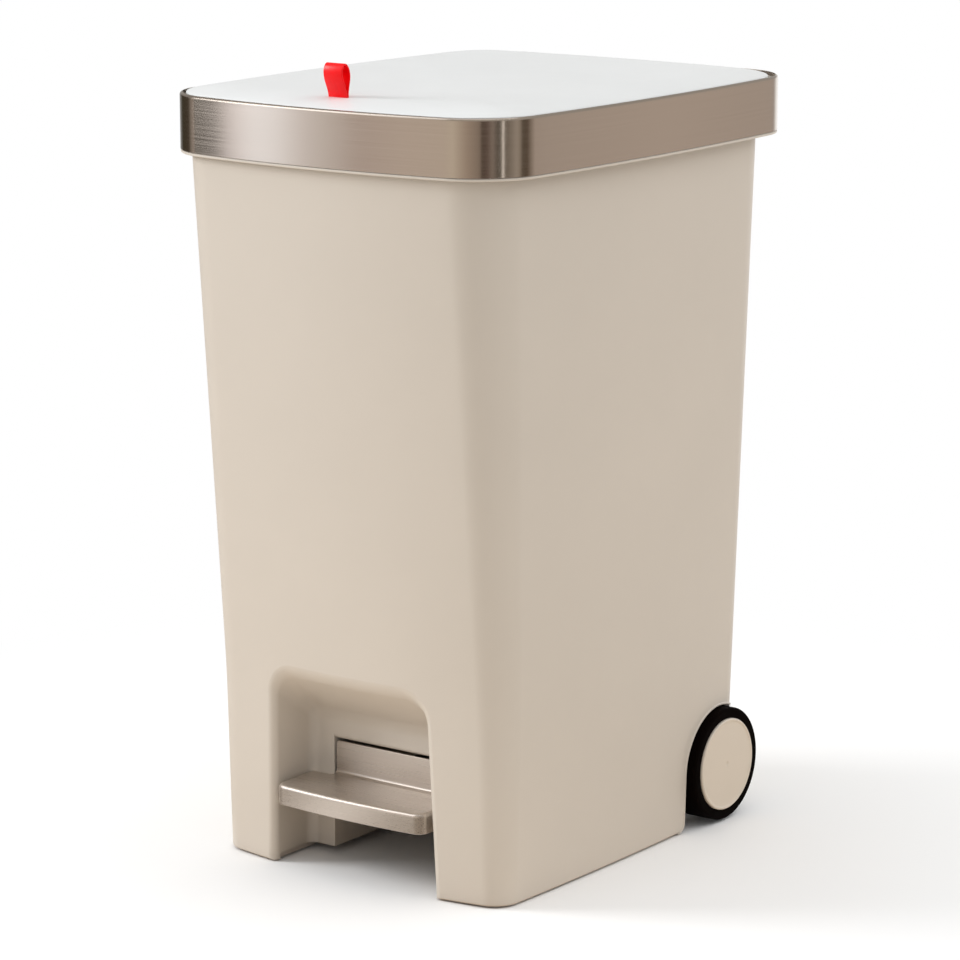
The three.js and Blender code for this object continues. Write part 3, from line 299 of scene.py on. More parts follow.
def outline(plan, inset=0.0):
    """A rounded rectangle with bowed sides, as (x, y) points going counter-clockwise."""
    half = plan["half"] - inset
    depth = (plan["front"] + plan["rear"]) / 2 - inset
    middle = (plan["rear"] - plan["front"]) / 2
    corner = max(plan["corner"] - inset, WALL)
    centres = [(x * (half - corner), y * (depth - corner)) for x, y in ((1, -1), (1, 1), (-1, 1), (-1, -1))]
    flat = []
    for k, (x, y) in enumerate(centres):
        for i in range(CORNER_STEPS + 1):
            angle = math.radians((k - 1 + i / CORNER_STEPS) * 90)
            flat.append((x + corner * math.cos(angle), y + corner * math.sin(angle)))
        next_x, next_y = centres[(k + 1) % 4]
        turn = math.radians(k * 90)
        end = (next_x + corner * math.cos(turn), next_y + corner * math.sin(turn))
        flat += divide(flat[-1], end, SIDE_STEPS)[1:]
    points = []
    for x, y in flat:
        across_x = 1 - (x / half) ** 2
        across_y = 1 - (y / depth) ** 2
        bow = plan["front_bow"] if y < 0 else plan["rear_bow"]
        points.append((x + plan["side_bow"] * across_y * x / half, middle + y + bow * across_x * y / depth))
    return points


def ring(plan, inset, z):
    return [(x, y, z) for x, y in outline(plan, inset)]


def front_y(x, z):
    """The body's front face."""
    plan = plan_at(z)
    return -plan["front"] - plan["front_bow"] * (1 - (x / plan["half"]) ** 2)


def side_x(y, z):
    """The body's right side, up to where its rear corner turns in."""
    plan = plan_at(z)
    depth = (plan["front"] + plan["rear"]) / 2
    middle = (plan["rear"] - plan["front"]) / 2
    flat = min(y - middle, depth - plan["corner"])
    return plan["half"] + plan["side_bow"] * (1 - (flat / depth) ** 2)


def rear_face(z):
    return BAND["rear"] - REAR_OVERHANG + REAR_BOW - (RIM - z) * REAR_TAPER / RIM


def rod_y(z):
    return rear_face(z) - ROD_INSET


def crown_at(inset):
    """Height of the lid's top, that far in from the band's face."""
    share = min((inset - LID_INSET) / LID_CROWN_WIDTH, 1.0)
    return LID_EDGE + LID_CROWN * (1 - (1 - share) ** 2)


def arc(centre, radius, start, end, steps):
    points = []
    for i in range(steps + 1):
        angle = math.radians(start + (end - start) * i / steps)
        points.append((centre[0] + radius * math.cos(angle), centre[1] + radius * math.sin(angle)))
    return points


def solid(name, points, faces):
    """A mesh object from points in millimetres. Its faces are turned outwards."""
    volume = 0.0
    vectors = [Vector(p) for p in points]
    for face in faces:
        for i in range(1, len(face) - 1):
            volume += vectors[face[0]].dot(vectors[face[i]].cross(vectors[face[i + 1]]))
    if volume < 0:
        faces = [tuple(reversed(face)) for face in faces]
    mesh = bpy.data.meshes.new(name)
    mesh.from_pydata([tuple(v * MM) for v in vectors], [], faces)
    mesh.update()
    obj = bpy.data.objects.new(name, mesh)
    scene.collection.objects.link(obj)
    return obj


def skin(name, rings, looped=False):
    """Skins a stack of rings of points. A stack that isn't looped is closed by a face at each end."""
    count = len(rings[0])
    points = [p for level in rings for p in level]
    faces = []
    for level in range(len(rings) if looped else len(rings) - 1):
        low = level * count
        high = ((level + 1) % len(rings)) * count
        for i in range(count):
            j = (i + 1) % count
            faces.append((low + i, low + j, high + j, high + i))
    if not looped:
        faces.append(tuple(range(count - 1, -1, -1)))
        top = (len(rings) - 1) * count
        faces.append(tuple(range(top, top + count)))
    return solid(name, points, faces)


def band_round(name, plan, section):
    return skin(name, [ring(plan, inset, z) for inset, z in section], looped=True)


def block(plan, inset, low, high):
    return skin("block", [ring(plan, inset, low), ring(plan, inset, high)])


def prism(axis, points, start, end):
    """Extrudes a closed outline along an axis. Its points are (y, z), (x, z) or (x, y)."""
    place = {
        "x": lambda a, b, along: (along, a, b),
        "y": lambda a, b, along: (a, along, b),
        "z": lambda a, b, along: (a, b, along),
    }[axis]
    return skin("prism", [[place(a, b, along) for a, b in points] for along in (start, end)])


def box(low, high):
    corners = [(low[0], low[1]), (high[0], low[1]), (high[0], high[1]), (low[0], high[1])]
    return prism("z", corners, low[2], high[2])


def bar(radius, start, end, steps=24):
    """A round bar between two points."""
    start, end = Vector(start), Vector(end)
    turn = (end - start).to_track_quat("Z", "Y").to_matrix()
    circle = [turn @ Vector((x, y, 0.0)) for x, y in arc((0, 0), radius, 0, 360, steps)[:-1]]
    return skin("bar", [[tuple(place + point) for point in circle] for place in (start, end)])


def turned(name, section, x, flip):
    """A solid of revolution about the axle. Its section is a closed list of (radius, reach) points."""
    rings = []
    for radius, reach in section:
        along = x - reach if flip else x + reach
        circle = arc((AXLE_Y, WHEEL_Z), max(radius, 0.01), 0, 360, TURNED_STEPS)[:-1]
        rings.append([(along, y, z) for y, z in circle])
    closed = section[0][0] > 0.01
    return skin(name, rings, looped=closed)


def combine(obj, *steps):
    """Adds, cuts or intersects other solids, in order. Each step is an operation and a solid."""
    for operation, tool in steps:
        boolean = obj.modifiers.new(operation.lower(), "BOOLEAN")
        boolean.operation = operation
        boolean.solver = "MANIFOLD"
        boolean.object = tool
    graph = bpy.context.evaluated_depsgraph_get()
    mesh = bpy.data.meshes.new_from_object(obj.evaluated_get(graph), depsgraph=graph)
    obj.modifiers.clear()
    obj.data = mesh
    for _, tool in steps:
        bpy.data.objects.remove(tool)
    return obj


def cut(obj, *tools):
    return combine(obj, *[("DIFFERENCE", tool) for tool in tools])


def join(obj, *tools):
    return combine(obj, *[("UNION", tool) for tool in tools])


def soften(obj, angle=32.0, weighted=True):
    """Smooth shading, with hard edges kept where faces meet at more than the angle."""
    obj.data.shade_smooth()
    obj.data.set_sharp_from_angle(angle=math.radians(angle))
    if weighted:
        normals = obj.modifiers.new("normals", "WEIGHTED_NORMAL")
        normals.keep_sharp = True
    return obj


# ---------------- materials


def linear(r, g, b):
    """An sRGB colour, 0 to 255, as the linear colour that a shader takes."""
    def one(value):
        value /= 255.0
        return value / 12.92 if value <= 0.04045 else ((value + 0.055) / 1.055) ** 2.4
    return (one(r), one(g), one(b), 1.0)


def add_node(tree, kind, inputs=(), **settings):
    """A new shader node with its settings, and with its sockets linked or set."""
    node = tree.nodes.new("ShaderNode" + kind)
    for name, value in settings.items():
        setattr(node, name, value)
    for socket, value in dict(inputs).items():
        if isinstance(value, bpy.types.NodeSocket):
            tree.links.new(value, node.inputs[socket])
        else:
            node.inputs[socket].default_value = value
    return node


class Finish:
    """A Principled material whose colour, roughness and bump come from procedural textures."""

    def __init__(self, name, colour, roughness, metallic=0.0, specular=0.5):
        self.material = bpy.data.materials.new(name)
        self.material.use_nodes = True
        self.tree = self.material.node_tree
        self.shader = self.tree.nodes["Principled BSDF"]
        self.colour = linear(*colour)
        self.roughness = roughness
        self.shader.inputs["Metallic"].default_value = metallic
        self.shader.inputs["Specular IOR Level"].default_value = specular
        self.shader.inputs["Base Color"].default_value = self.colour
        self.shader.inputs["Roughness"].default_value = roughness
        self.material.diffuse_color = self.colour
        self.place = add_node(self.tree, "TexCoord").outputs["Object"]

    def noise(self, scale, detail=3.0, stretch=(1.0, 1.0, 1.0), rough=0.5):
        mapping = add_node(self.tree, "Mapping", {"Vector": self.place, "Scale": stretch})
        inputs = {"Vector": mapping.outputs["Vector"], "Scale": scale, "Detail": detail, "Roughness": rough}
        return add_node(self.tree, "TexNoise", inputs).outputs["Fac"]

    def spread(self, value, low, high):
        """Stretches the middle of a texture's values to a range."""
        inputs = {"Value": value, "From Min": 0.3, "From Max": 0.7, "To Min": low, "To Max": high}
        return add_node(self.tree, "MapRange", inputs).outputs["Result"]

    def vary_colour(self, value, dark, light):
        """Shifts the colour between a darker and a lighter share of itself."""
        shades = [tuple(min(c * share, 1.0) for c in self.colour[:3]) + (1.0,) for share in (dark, light)]
        inputs = {"A": shades[0], "B": shades[1], "Factor": self.spread(value, 0.0, 1.0)}
        mix = add_node(self.tree, "Mix", inputs, data_type="RGBA")
        self.tree.links.new(mix.outputs["Result"], self.shader.inputs["Base Color"])
        return self

    def vary_roughness(self, value, by):
        result = self.spread(value, self.roughness - by, self.roughness + by)
        self.tree.links.new(result, self.shader.inputs["Roughness"])

    def bump(self, value, distance):
        node = add_node(self.tree, "Bump", {"Strength": 1.0, "Distance": distance, "Height": value})
        self.tree.links.new(node.outputs["Normal"], self.shader.inputs["Normal"])


def moulded(name, colour, roughness, grain=520.0, depth=0.00002):
    """Moulded plastic: a faint cloud in its colour, a fine grain and patches of gloss."""
    finish = Finish(name, colour, roughness)
    finish.vary_colour(finish.noise(7.0, 4.0), 0.985, 1.012)
    finish.vary_roughness(finish.noise(40.0, 5.0), 0.035)
    finish.bump(finish.noise(grain, 2.0), depth)
    return finish


def brushed(name, colour, roughness, stretch, anisotropy, spin, variation=0.05, depth=0.000012, metallic=1.0):
    """Brushed steel: long fine lines in its colour, its gloss and its surface."""
    finish = Finish(name, colour, roughness, metallic)
    lines = finish.noise(1.0, 3.0, stretch, 0.6)
    finish.vary_colour(lines, 1 - variation, 1 + variation)
    finish.vary_roughness(lines, 0.05)
    finish.bump(lines, depth)
    finish.shader.inputs["Anisotropic"].default_value = anisotropy
    finish.shader.inputs["Anisotropic Rotation"].default_value = spin
    return finish


beige = moulded("beige_plastic", (208, 201, 192), 0.46)
white = moulded("white_plastic", (231, 233, 234), 0.42, 700.0, 0.000012)
cap = moulded("cap_plastic", (216, 206, 193), 0.5)
grey = moulded("grey_plastic", (143, 141, 138), 0.6)
steel = brushed("band_steel", (190, 180, 170), 0.2, (4.0, 4.0, 2600.0), 0.85, 0.25, 0.035, 0.000004)
tread = brushed("pedal_steel", (196, 187, 178), 0.3, (5.0, 1500.0, 1500.0), 0.0, 0.0, metallic=0.75)
zinc = Finish("zinc", (158, 158, 160), 0.34, metallic=1.0)
zinc.vary_colour(zinc.noise(160.0, 4.0), 0.86, 1.1).vary_roughness(zinc.noise(90.0, 4.0), 0.07)
zinc.bump(zinc.noise(700.0, 2.0), 0.00002)
rubber = Finish("black_rubber", (34, 33, 33), 0.78, specular=0.35)
rubber.vary_colour(rubber.noise(60.0, 4.0), 0.8, 1.3).vary_roughness(rubber.noise(120.0, 4.0), 0.06)
rubber.bump(rubber.noise(600.0, 3.0), 0.00005)
tyre = Finish("tyre", (8, 4, 3), 0.7, specular=0.02)
tyre.vary_colour(tyre.noise(45.0, 5.0), 0.75, 1.35).vary_roughness(tyre.noise(90.0, 4.0), 0.07)
tyre.bump(tyre.noise(500.0, 3.0), 0.00006)
red = Finish("red_strap", (255, 2, 12), 0.34, specular=0.26)
red.vary_colour(red.noise(260.0, 3.0, (1.0, 0.3, 0.3)), 0.93, 1.06).vary_roughness(red.noise(90.0, 4.0), 0.05)
red.bump(red.noise(1500.0, 2.0, (1.0, 1.0, 0.35)), 0.00004)

# ---------------- pieces

CAD_SLOTS = {row["node"]: row["material_slot"] for row in frame["record"]["subparts"]}
FINISHES = {
    "beige_plastic": beige,
    "band_steel": steel,
    "pedal_steel": tread,
    "white_plastic": white,
    "grey_plastic": grey,
    "black_rubber": rubber,
    "tyre": tyre,
    "zinc": zinc,
    "red_strap": red,
}


def dress(obj, body, node, finish=None):
    """Gives a new piece its finish, and lets it stand for a CAD node."""
    slot = CAD_SLOTS[node]
    obj.data.materials.clear()
    obj.data.materials.append((finish or FINISHES[slot]).material)
    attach(obj, body)
    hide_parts(node)


# ---------------- body


def recess_half(z):
    return RECESS_LOW_HALF + (RECESS_TOP_HALF - RECESS_LOW_HALF) * z / RECESS_FRONT_TOP


RECESS_BACK = -plan_at(TREAD_TOP)["front"] - FRONT_BOW + RECESS_DEPTH


def recess_outline(share, spread):
    """The recess's outline at a share of its depth, from its back wall to its mouth, spread outwards."""
    top = RECESS_BACK_TOP + (RECESS_FRONT_TOP - RECESS_BACK_TOP) * share + spread
    round_ = max(RECESS_BACK_CORNER + (RECESS_FRONT_CORNER - RECESS_BACK_CORNER) * share + spread, 1.0)
    half = recess_half(top) + spread
    low = recess_half(RECESS_LOW) + spread
    right = arc((half - round_, top - round_), round_, 0, 90, 14)
    left = arc((round_ - half, top - round_), round_, 90, 180, 14)
    side = divide((low, RECESS_LOW), right[0], 14)
    roof = divide(right[-1], left[0], 18)[1:]
    other = [(-x, z) for x, z in reversed(side)]
    return side + right + roof + left + other


def recess_grown():
    """The plain recess with the wall round it, as the bin's inside sees it."""
    rings = []
    for share in (0.0, 1.3):
        y = RECESS_BACK + (0.0 if share else WALL) - RECESS_DEPTH * share
        rings.append([(x, y, z) for x, z in recess_outline(share, WALL)])
    return skin("recess", rings)


def lip_places(radius, steps, past):
    """Depth and spread along a rounded mouth, and on past the surface in its last direction."""
    places = []
    for degrees in steps:
        angle = math.radians(degrees)
        places.append((radius * (1 - math.sin(angle)), radius * (1 - math.cos(angle))))
    depth, spread = places[-1]
    return places + [(-past, spread + (past + depth) * math.tan(math.radians(steps[-1])))]


def recess_cutter():
    """The recess with soft inner corners and a rounded mouth that follows the bowed front."""
    rings = []
    for i in range(7):
        angle = math.radians(90 - 15 * i)
        back = RECESS_INNER * (1 - math.sin(angle))
        shrink = RECESS_INNER * (1 - math.cos(angle))
        share = back / RECESS_DEPTH
        rings.append([(x, RECESS_BACK - back, z) for x, z in recess_outline(share, -shrink)])
    for depth, spread in lip_places(RECESS_LIP, (0, 15, 30, 45, 60, 72, 82), 2.0):
        points = recess_outline(1 - depth / RECESS_DEPTH, spread)
        rings.append([(x, front_y(x, max(z, 0.0)) + depth, z) for x, z in points])
    rings.append([(x, PAST_FRONT, z) for x, _, z in rings[-1]])
    return skin("recess", rings)


def tunnel(grow):
    return box(
        (-TUNNEL_HALF - grow, RECESS_BACK - WALL - RECESS_INNER, -WALL),
        (TUNNEL_HALF + grow, BAY_FRONT + WALL, TUNNEL_TOP + grow),
    )


def tunnel_shield():
    """The tunnel with the wall round it, as the bin's inside sees it."""
    half = TUNNEL_HALF + WALL
    return box((-half, RECESS_BACK - WALL, -WALL), (half, BAY_FRONT + WALL, TUNNEL_TOP + WALL))


def make_lintel():
    """A soft lip along the top of the tunnel's mouth, just above the pedal's upright plate."""
    low, back = TUNNEL_TOP - LINTEL_DROP, RECESS_BACK + LINTEL_DEPTH
    soft = arc((RECESS_BACK + LINTEL_DROP, TUNNEL_TOP), LINTEL_DROP, 180, 270, 10)
    profile = [(RECESS_BACK + 0.2, TUNNEL_TOP + 1.0)] + [(max(y, RECESS_BACK + 0.02), z) for y, z in soft]
    profile += [(back, low), (back, TUNNEL_TOP + 1.0)]
    return prism("x", profile, -TUNNEL_HALF - 1.0, TUNNEL_HALF + 1.0)


def bay(grow):
    """The room of the axle, open at the underside."""
    return box((-BAY_HALF - grow, BAY_FRONT - grow, -WALL), (BAY_HALF + grow, PAST_REAR, BAY_TOP + grow))


def well_outline(spread):
    """The wheel arch from the heel in front of it, over the wheel, and down behind the bin's rear."""
    radius = ARCH + spread
    heel = AXLE_Y - radius - HEEL
    front = heel + HEEL
    points = [(heel, -WALL)] + arc((heel, SILL + HEEL), HEEL, -90, 0, 8)
    points += divide((front, SILL + HEEL), (front, WHEEL_Z), 8)[1:]
    return points + arc((AXLE_Y, WHEEL_Z), radius, 180, 0, 72) + [(AXLE_Y + radius, -WALL)]


def well_plain(side):
    points = well_outline(WALL)
    inner = WELL_INNER - WALL
    ends = (inner, PAST_SIDE) if side > 0 else (-PAST_SIDE, -inner)
    return prism("x", points, *ends)


def well_cutter(side):
    """A wheel well whose outer edge is rounded where it meets the body's side."""
    rings = [[(side * WELL_INNER, y, z) for y, z in well_outline(0.0)]]
    for depth, spread in lip_places(ARCH_LIP, (0, 20, 40, 60, 75), 1.5):
        points = well_outline(spread)
        rings.append([(side * (side_x(y, max(z, 0.0)) - depth), y, z) for y, z in points])
    rings.append([(side * PAST_SIDE, y, z) for _, y, z in rings[-1]])
    return skin("well", rings)


def arch_bead(side):
    """A low rounded bead on the body's side, along the edge of a wheel arch."""
    rings = []
    rise = ((0.0, 0.0), (0.12, 0.6), (0.3, 0.9), (0.5, 1.0), (0.7, 0.9), (0.88, 0.6), (1.0, 0.0))
    for share, height in rise:
        points = well_outline(0.2 + ARCH_BEAD * share)
        rings.append([(side * (side_x(y, max(z, 0.0)) + ARCH_RAISE * height), y, z) for y, z in points])
    for share in (1.0, 0.0):
        points = well_outline(0.2 + ARCH_BEAD * share)
        rings.append([(side * (side_x(y, max(z, 0.0)) - 1.5), y, z) for y, z in points])
    bead = skin("bead", rings, looped=True)
    return combine(bead, ("INTERSECT", body_form(-1.2, FLOOR_GAP, BODY_TOP)))


def channel(grow, top):
    """The lift rod's channel in the rear wall, which follows the rod's slope."""
    half = CHANNEL_HALF + grow
    front = [(rod_y(z) - CHANNEL_BEHIND - grow, z) for z in (CHANNEL_LOW, top)]
    return prism("x", [front[0], (PAST_REAR, CHANNEL_LOW), (PAST_REAR, top), front[1]], -half, half)


def body_form(inset, bottom, top, edge=0.0):
    """The body's outside, or its inside when inset by the wall. Its lowest edge is rounded by edge."""
    levels = [bottom + (top - bottom) * i / 30 for i in range(31)]
    rings = [ring(plan_at(z), inset, z) for z in levels[1:]]
    foot = []
    if edge:
        for degrees in (0, 22.5, 45, 67.5, 90):
            angle = math.radians(degrees)
            z = bottom + edge * (1 - math.cos(angle))
            foot.append(ring(plan_at(z), inset + edge * (1 - math.sin(angle)), z))
    else:
        foot.append(ring(plan_at(bottom), inset, bottom))
    return skin("outer_body", foot + rings)


PAD_X = plan_at(0)["half"] - PAD_SIDE_INSET
PADS = []
for pad_side in (-1, 1):
    PADS.append((pad_side * PAD_X, front_y(0, 0) + FRONT_PAD_SETBACK, FLOOR_GAP))
    PADS.append((pad_side * PAD_X, BAY_FRONT - REAR_PAD_FORWARD, SILL))
COVER_SCREW_X = CHANNEL_HALF + COVER_MARGIN - BOSS
COVER_SCREWS = [(side * COVER_SCREW_X, z) for side in (-1, 1) for z in COVER_SCREW_HEIGHTS]


def make_body():
    inside = body_form(WALL, SILL + BIN_FLOOR, BODY_TOP + WALL, INNER_EDGE)
    tools = [recess_grown(), tunnel_shield(), bay(WALL), well_plain(-1), well_plain(1)]
    tools.append(channel(WALL, BODY_TOP + 2 * WALL))
    for x, z in COVER_SCREWS:
        tools.append(bar(BOSS, (x, rear_face(z), z), (x, rear_face(z) - SCREW_LENGTH - WALL, z)))
    for side in (-1, 1):
        foot = (side * BRACKET_SCREW_X, PIVOT_Y, TUNNEL_TOP)
        tools.append(bar(BOSS, foot, (foot[0], PIVOT_Y, TUNNEL_TOP + SCREW_LENGTH)))
    inside = cut(inside, *tools)
    bay_room = combine(bay(0.0), ("INTERSECT", body_form(WALL, -WALL, BAY_TOP + WALL)))
    low_y = front_y(0, 0)
    between = RECESS_LOW_HALF + WALL
    shell = cut(
        body_form(0.0, FLOOR_GAP, BODY_TOP, FOOT_EDGE),
        inside,
        recess_cutter(),
        tunnel(0.0),
        bay_room,
        well_cutter(-1),
        well_cutter(1),
        channel(0.0, BODY_TOP + WALL),
        box((-PAST_SIDE, low_y + LEG_LENGTH, -WALL), (PAST_SIDE, PAST_REAR, SILL)),
        box((-between, low_y + LEG_INNER, -WALL), (between, BAY_FRONT + WALL, RELIEF)),
    )
    bosses = []
    for side in (-1, 1):
        inner, outer = side * (BAY_HALF - AXLE_BOSS), side * (WELL_INNER + AXLE_BOSS)
        ends = [(x, AXLE_Y, WHEEL_Z) for x in (inner, outer)]
        bosses.append(bar(AXLE_RADIUS + AXLE_BOSS_WALL, *ends, 32))
    shell = join(shell, *bosses)
    shell = join(shell, make_lintel(), arch_bead(-1), arch_bead(1))
    holes = [bar(AXLE_RADIUS + FIT, (-PAST_SIDE, AXLE_Y, WHEEL_Z), (PAST_SIDE, AXLE_Y, WHEEL_Z))]
    for x, y, under in PADS:
        holes.append(bar(PAD_RADIUS + FIT, (x, y, -WALL), (x, y, under + PAD_POCKET + FIT), 40))
    for x, z in COVER_SCREWS:
        holes.append(bar(SCREW + FIT, (x, rear_face(z) + WALL, z), (x, rear_face(z) - SCREW_LENGTH, z), 16))
    bracket_top = TUNNEL_TOP + SCREW_LENGTH - BRACKET_SHEET
    for x in (-BRACKET_SCREW_X, BRACKET_SCREW_X):
        holes.append(bar(SCREW + FIT, (x, PIVOT_Y, 0), (x, PIVOT_Y, bracket_top), 16))
    return cut(shell, *holes)


body = make_body()
body.name = "body_shell"
dress(soften(body), "bin", "outer_body")

# ---------------- collar and band


def lug_pair(x):
    crown = arc((HINGE_Y, HINGE_Z), KNUCKLE, 180, 0, 20)
    rear, low = HINGE_Y + LUG_REAR, WEB_TOP - FIT
    profile = crown + [(rear, HINGE_Z - KNUCKLE / 2), (rear, low), (HINGE_Y - KNUCKLE, low)]
    inner = LUG_SPAN - LUG_THICK
    return [prism("x", profile, x - LUG_SPAN, x - inner), prism("x", profile, x + inner, x + LUG_SPAN)]


def make_collar():
    lip_top = RIM - FIT
    lip_low = lip_top - COLLAR_LIP
    wall_top = BAND_TOP - COLLAR_BELOW_BAND
    section = [(FIT + 0.5, lip_low), (FIT, lip_low + 0.5), (FIT, lip_top - 0.3), (FIT + 0.3, lip_top)]
    section += [(COLLAR_OUT, lip_top), (COLLAR_OUT, wall_top), (COLLAR_IN, wall_top), (COLLAR_IN, lip_low)]
    collar = band_round("collar", BAND, section)
    inner_face = WALL + FIT
    mouth_inset = inner_face + COLLAR_INNER_WALL
    low = BODY_TOP - COLLAR_INNER_DROP
    web = block(BAND, (COLLAR_OUT + COLLAR_IN) / 2, WEB_BOTTOM, WEB_TOP)
    inner_wall = cut(block(RIM_PLAN, inner_face, low, WEB_TOP), channel(inner_face, WEB_TOP + WALL))
    mouth = cut(
        block(RIM_PLAN, mouth_inset, low - WALL, WEB_TOP + WALL),
        channel(mouth_inset, WEB_TOP + 2 * WALL),
    )
    slot_half = CHANNEL_HALF - BAND_ROLL
    slot = box(
        (-slot_half, rod_y(WEB_TOP) - CHANNEL_BEHIND + BAND_ROLL, WEB_BOTTOM - WALL),
        (slot_half, HINGE_Y - KNUCKLE, WEB_TOP + WALL),
    )
    collar = cut(join(collar, web, inner_wall), mouth, slot)
    collar = join(collar, *[lug for x in (-HINGE_X, HINGE_X) for lug in lug_pair(x)])
    pins = []
    for x in (-HINGE_X, HINGE_X):
        ends = [(x + reach, HINGE_Y, HINGE_Z) for reach in (-HINGE_PIN_HALF, HINGE_PIN_HALF)]
        pins.append(bar(HINGE_PIN + FIT, *ends))
    return cut(collar, *pins)


dress(soften(make_collar()), "bin", "top_ring")


def make_band():
    centre = (BAND_ROLL, BAND_TOP - BAND_ROLL)
    section = [(BAND_EDGE, RIM)] + divide((0.0, RIM + BAND_EDGE), (0.0, BAND_TOP - BAND_ROLL), 6)
    section += arc(centre, BAND_ROLL, 180, 90, 8) + arc(centre, BAND_ROLL - BAND_SHEET, 90, 180, 5)
    return band_round("band", BAND, section + [(BAND_SHEET, RIM)])


dress(soften(make_band(), 40.0), "bin", "steel_band")

# ---------------- wheels

HUB_INNER = WELL_INNER + AXLE_BOSS + 2 * FIT
WHEEL_DEPTH = WHEEL_FACE - HUB_INNER
CAP_BACK = WHEEL_DEPTH - CAP_DEPTH
HUB_FRONT = CAP_BACK - FIT


def tyre_section():
    front = WHEEL_DEPTH - TYRE_SETBACK
    back = front - WHEEL_WIDTH
    shoulder, inner = TYRE_SHOULDER, TYRE_BACK_ROUND
    bore = CAP_RADIUS + FIT
    outer = WHEEL_RADIUS
    section = [(bore, back + 1.0), (bore + 1.0, back), (outer - inner - 1.0, back)]
    section += arc((outer - inner, back + inner), inner, 270, 360, 7)
    section += [(outer, back + TYRE_FLAT), (outer, front - TYRE_FLAT)]
    section += arc((outer - shoulder, front - shoulder), shoulder, 0, 84, 8)
    return section + [(bore + 1.2, front), (bore + 0.4, front - 0.6), (bore, front - 1.6)]


def cap_section():
    """A shallow dish with a rounded rim and a small dimple in the middle."""
    dish = WHEEL_DEPTH - 0.8
    rim = CAP_RADIUS - 1.5
    section = [(0.01, dish - 0.8), (1.4, dish - 0.75), (2.4, dish - 0.35), (3.4, dish), (rim - 2.4, dish)]
    section += [(rim - 1.6, dish + 0.1), (rim - 1.1, dish + 0.4), (rim - 0.6, dish + 0.7)]
    section += arc((rim, WHEEL_DEPTH - 1.5), 1.5, 90, 0, 8)
    inner, under = CAP_RADIUS - 2.0, dish - 2.0
    return section + [(CAP_RADIUS, CAP_BACK), (inner, CAP_BACK), (inner, under), (0.01, under)]


def hub_section():
    bore = AXLE_RADIUS + FIT
    sleeve = bore + HUB_SLEEVE
    rim = CAP_RADIUS - HUB_RIM
    disc_back = (WHEEL_DEPTH - HUB_DISC) / 2
    disc_front = disc_back + HUB_DISC
    back = WHEEL_DEPTH - TYRE_SETBACK - WHEEL_WIDTH + 1.0
    sleeve_front = HUB_FRONT - AXLE_RADIUS
    section = [(bore, 0.4), (bore + 0.4, 0.0), (sleeve - 0.6, 0.0), (sleeve, 0.6), (sleeve, disc_back - 1.5)]
    section += [(sleeve + 1.5, disc_back), (rim - 2.0, disc_back), (rim, disc_back - 2.0), (rim, back + 0.6)]
    section += [(rim + 0.6, back), (CAP_RADIUS - 0.6, back), (CAP_RADIUS, back + 0.6)]
    section += [(CAP_RADIUS, HUB_FRONT), (rim, HUB_FRONT), (rim, disc_front), (sleeve, disc_front)]
    return section + [(sleeve, sleeve_front), (bore, sleeve_front)]


for wheel_side, label in ((-1, "left"), (1, "right")):
    flipped = wheel_side < 0
    start = wheel_side * HUB_INNER
    wheel = f"wheel_{label}"
    for name, section, node, finish in (
        (f"tyre_{label}_tread", tyre_section(), f"tyre_{label}", None),
        (f"cap_{label}", cap_section(), f"hub_cap_{label}", cap),
        (f"hub_{label}", hub_section(), f"wheel_hub_{label}", None),
    ):
        dress(soften(turned(name, section, start, flipped), 40.0), wheel, node, finish)

# ---------------- lid

PANEL_SCREWS = [(x * PANEL_SCREW_X, y * PANEL_SCREW_Y) for x in (-1, 1) for y in (-1, 1)]
PLATE_SCREWS = []
for hinge_x, spread in ((-HINGE_X, HINGE_SCREW_SPREAD), (HINGE_X, HINGE_SCREW_SPREAD), (0.0, CRANK_SCREW_X)):
    PLATE_SCREWS += [(hinge_x - spread, HINGE_SCREW_Y), (hinge_x + spread, HINGE_SCREW_Y)]
LOOP_SURFACE = crown_at(LOOP_SETBACK)
LOOP_FOOT_TOP = LOOP_SURFACE - LID_SHELL - 2 * FIT
CLIP_TOP = LOOP_FOOT_TOP - LOOP_FOOT - FIT
CLIP_SCREW_X = LOOP_HALF + BOSS


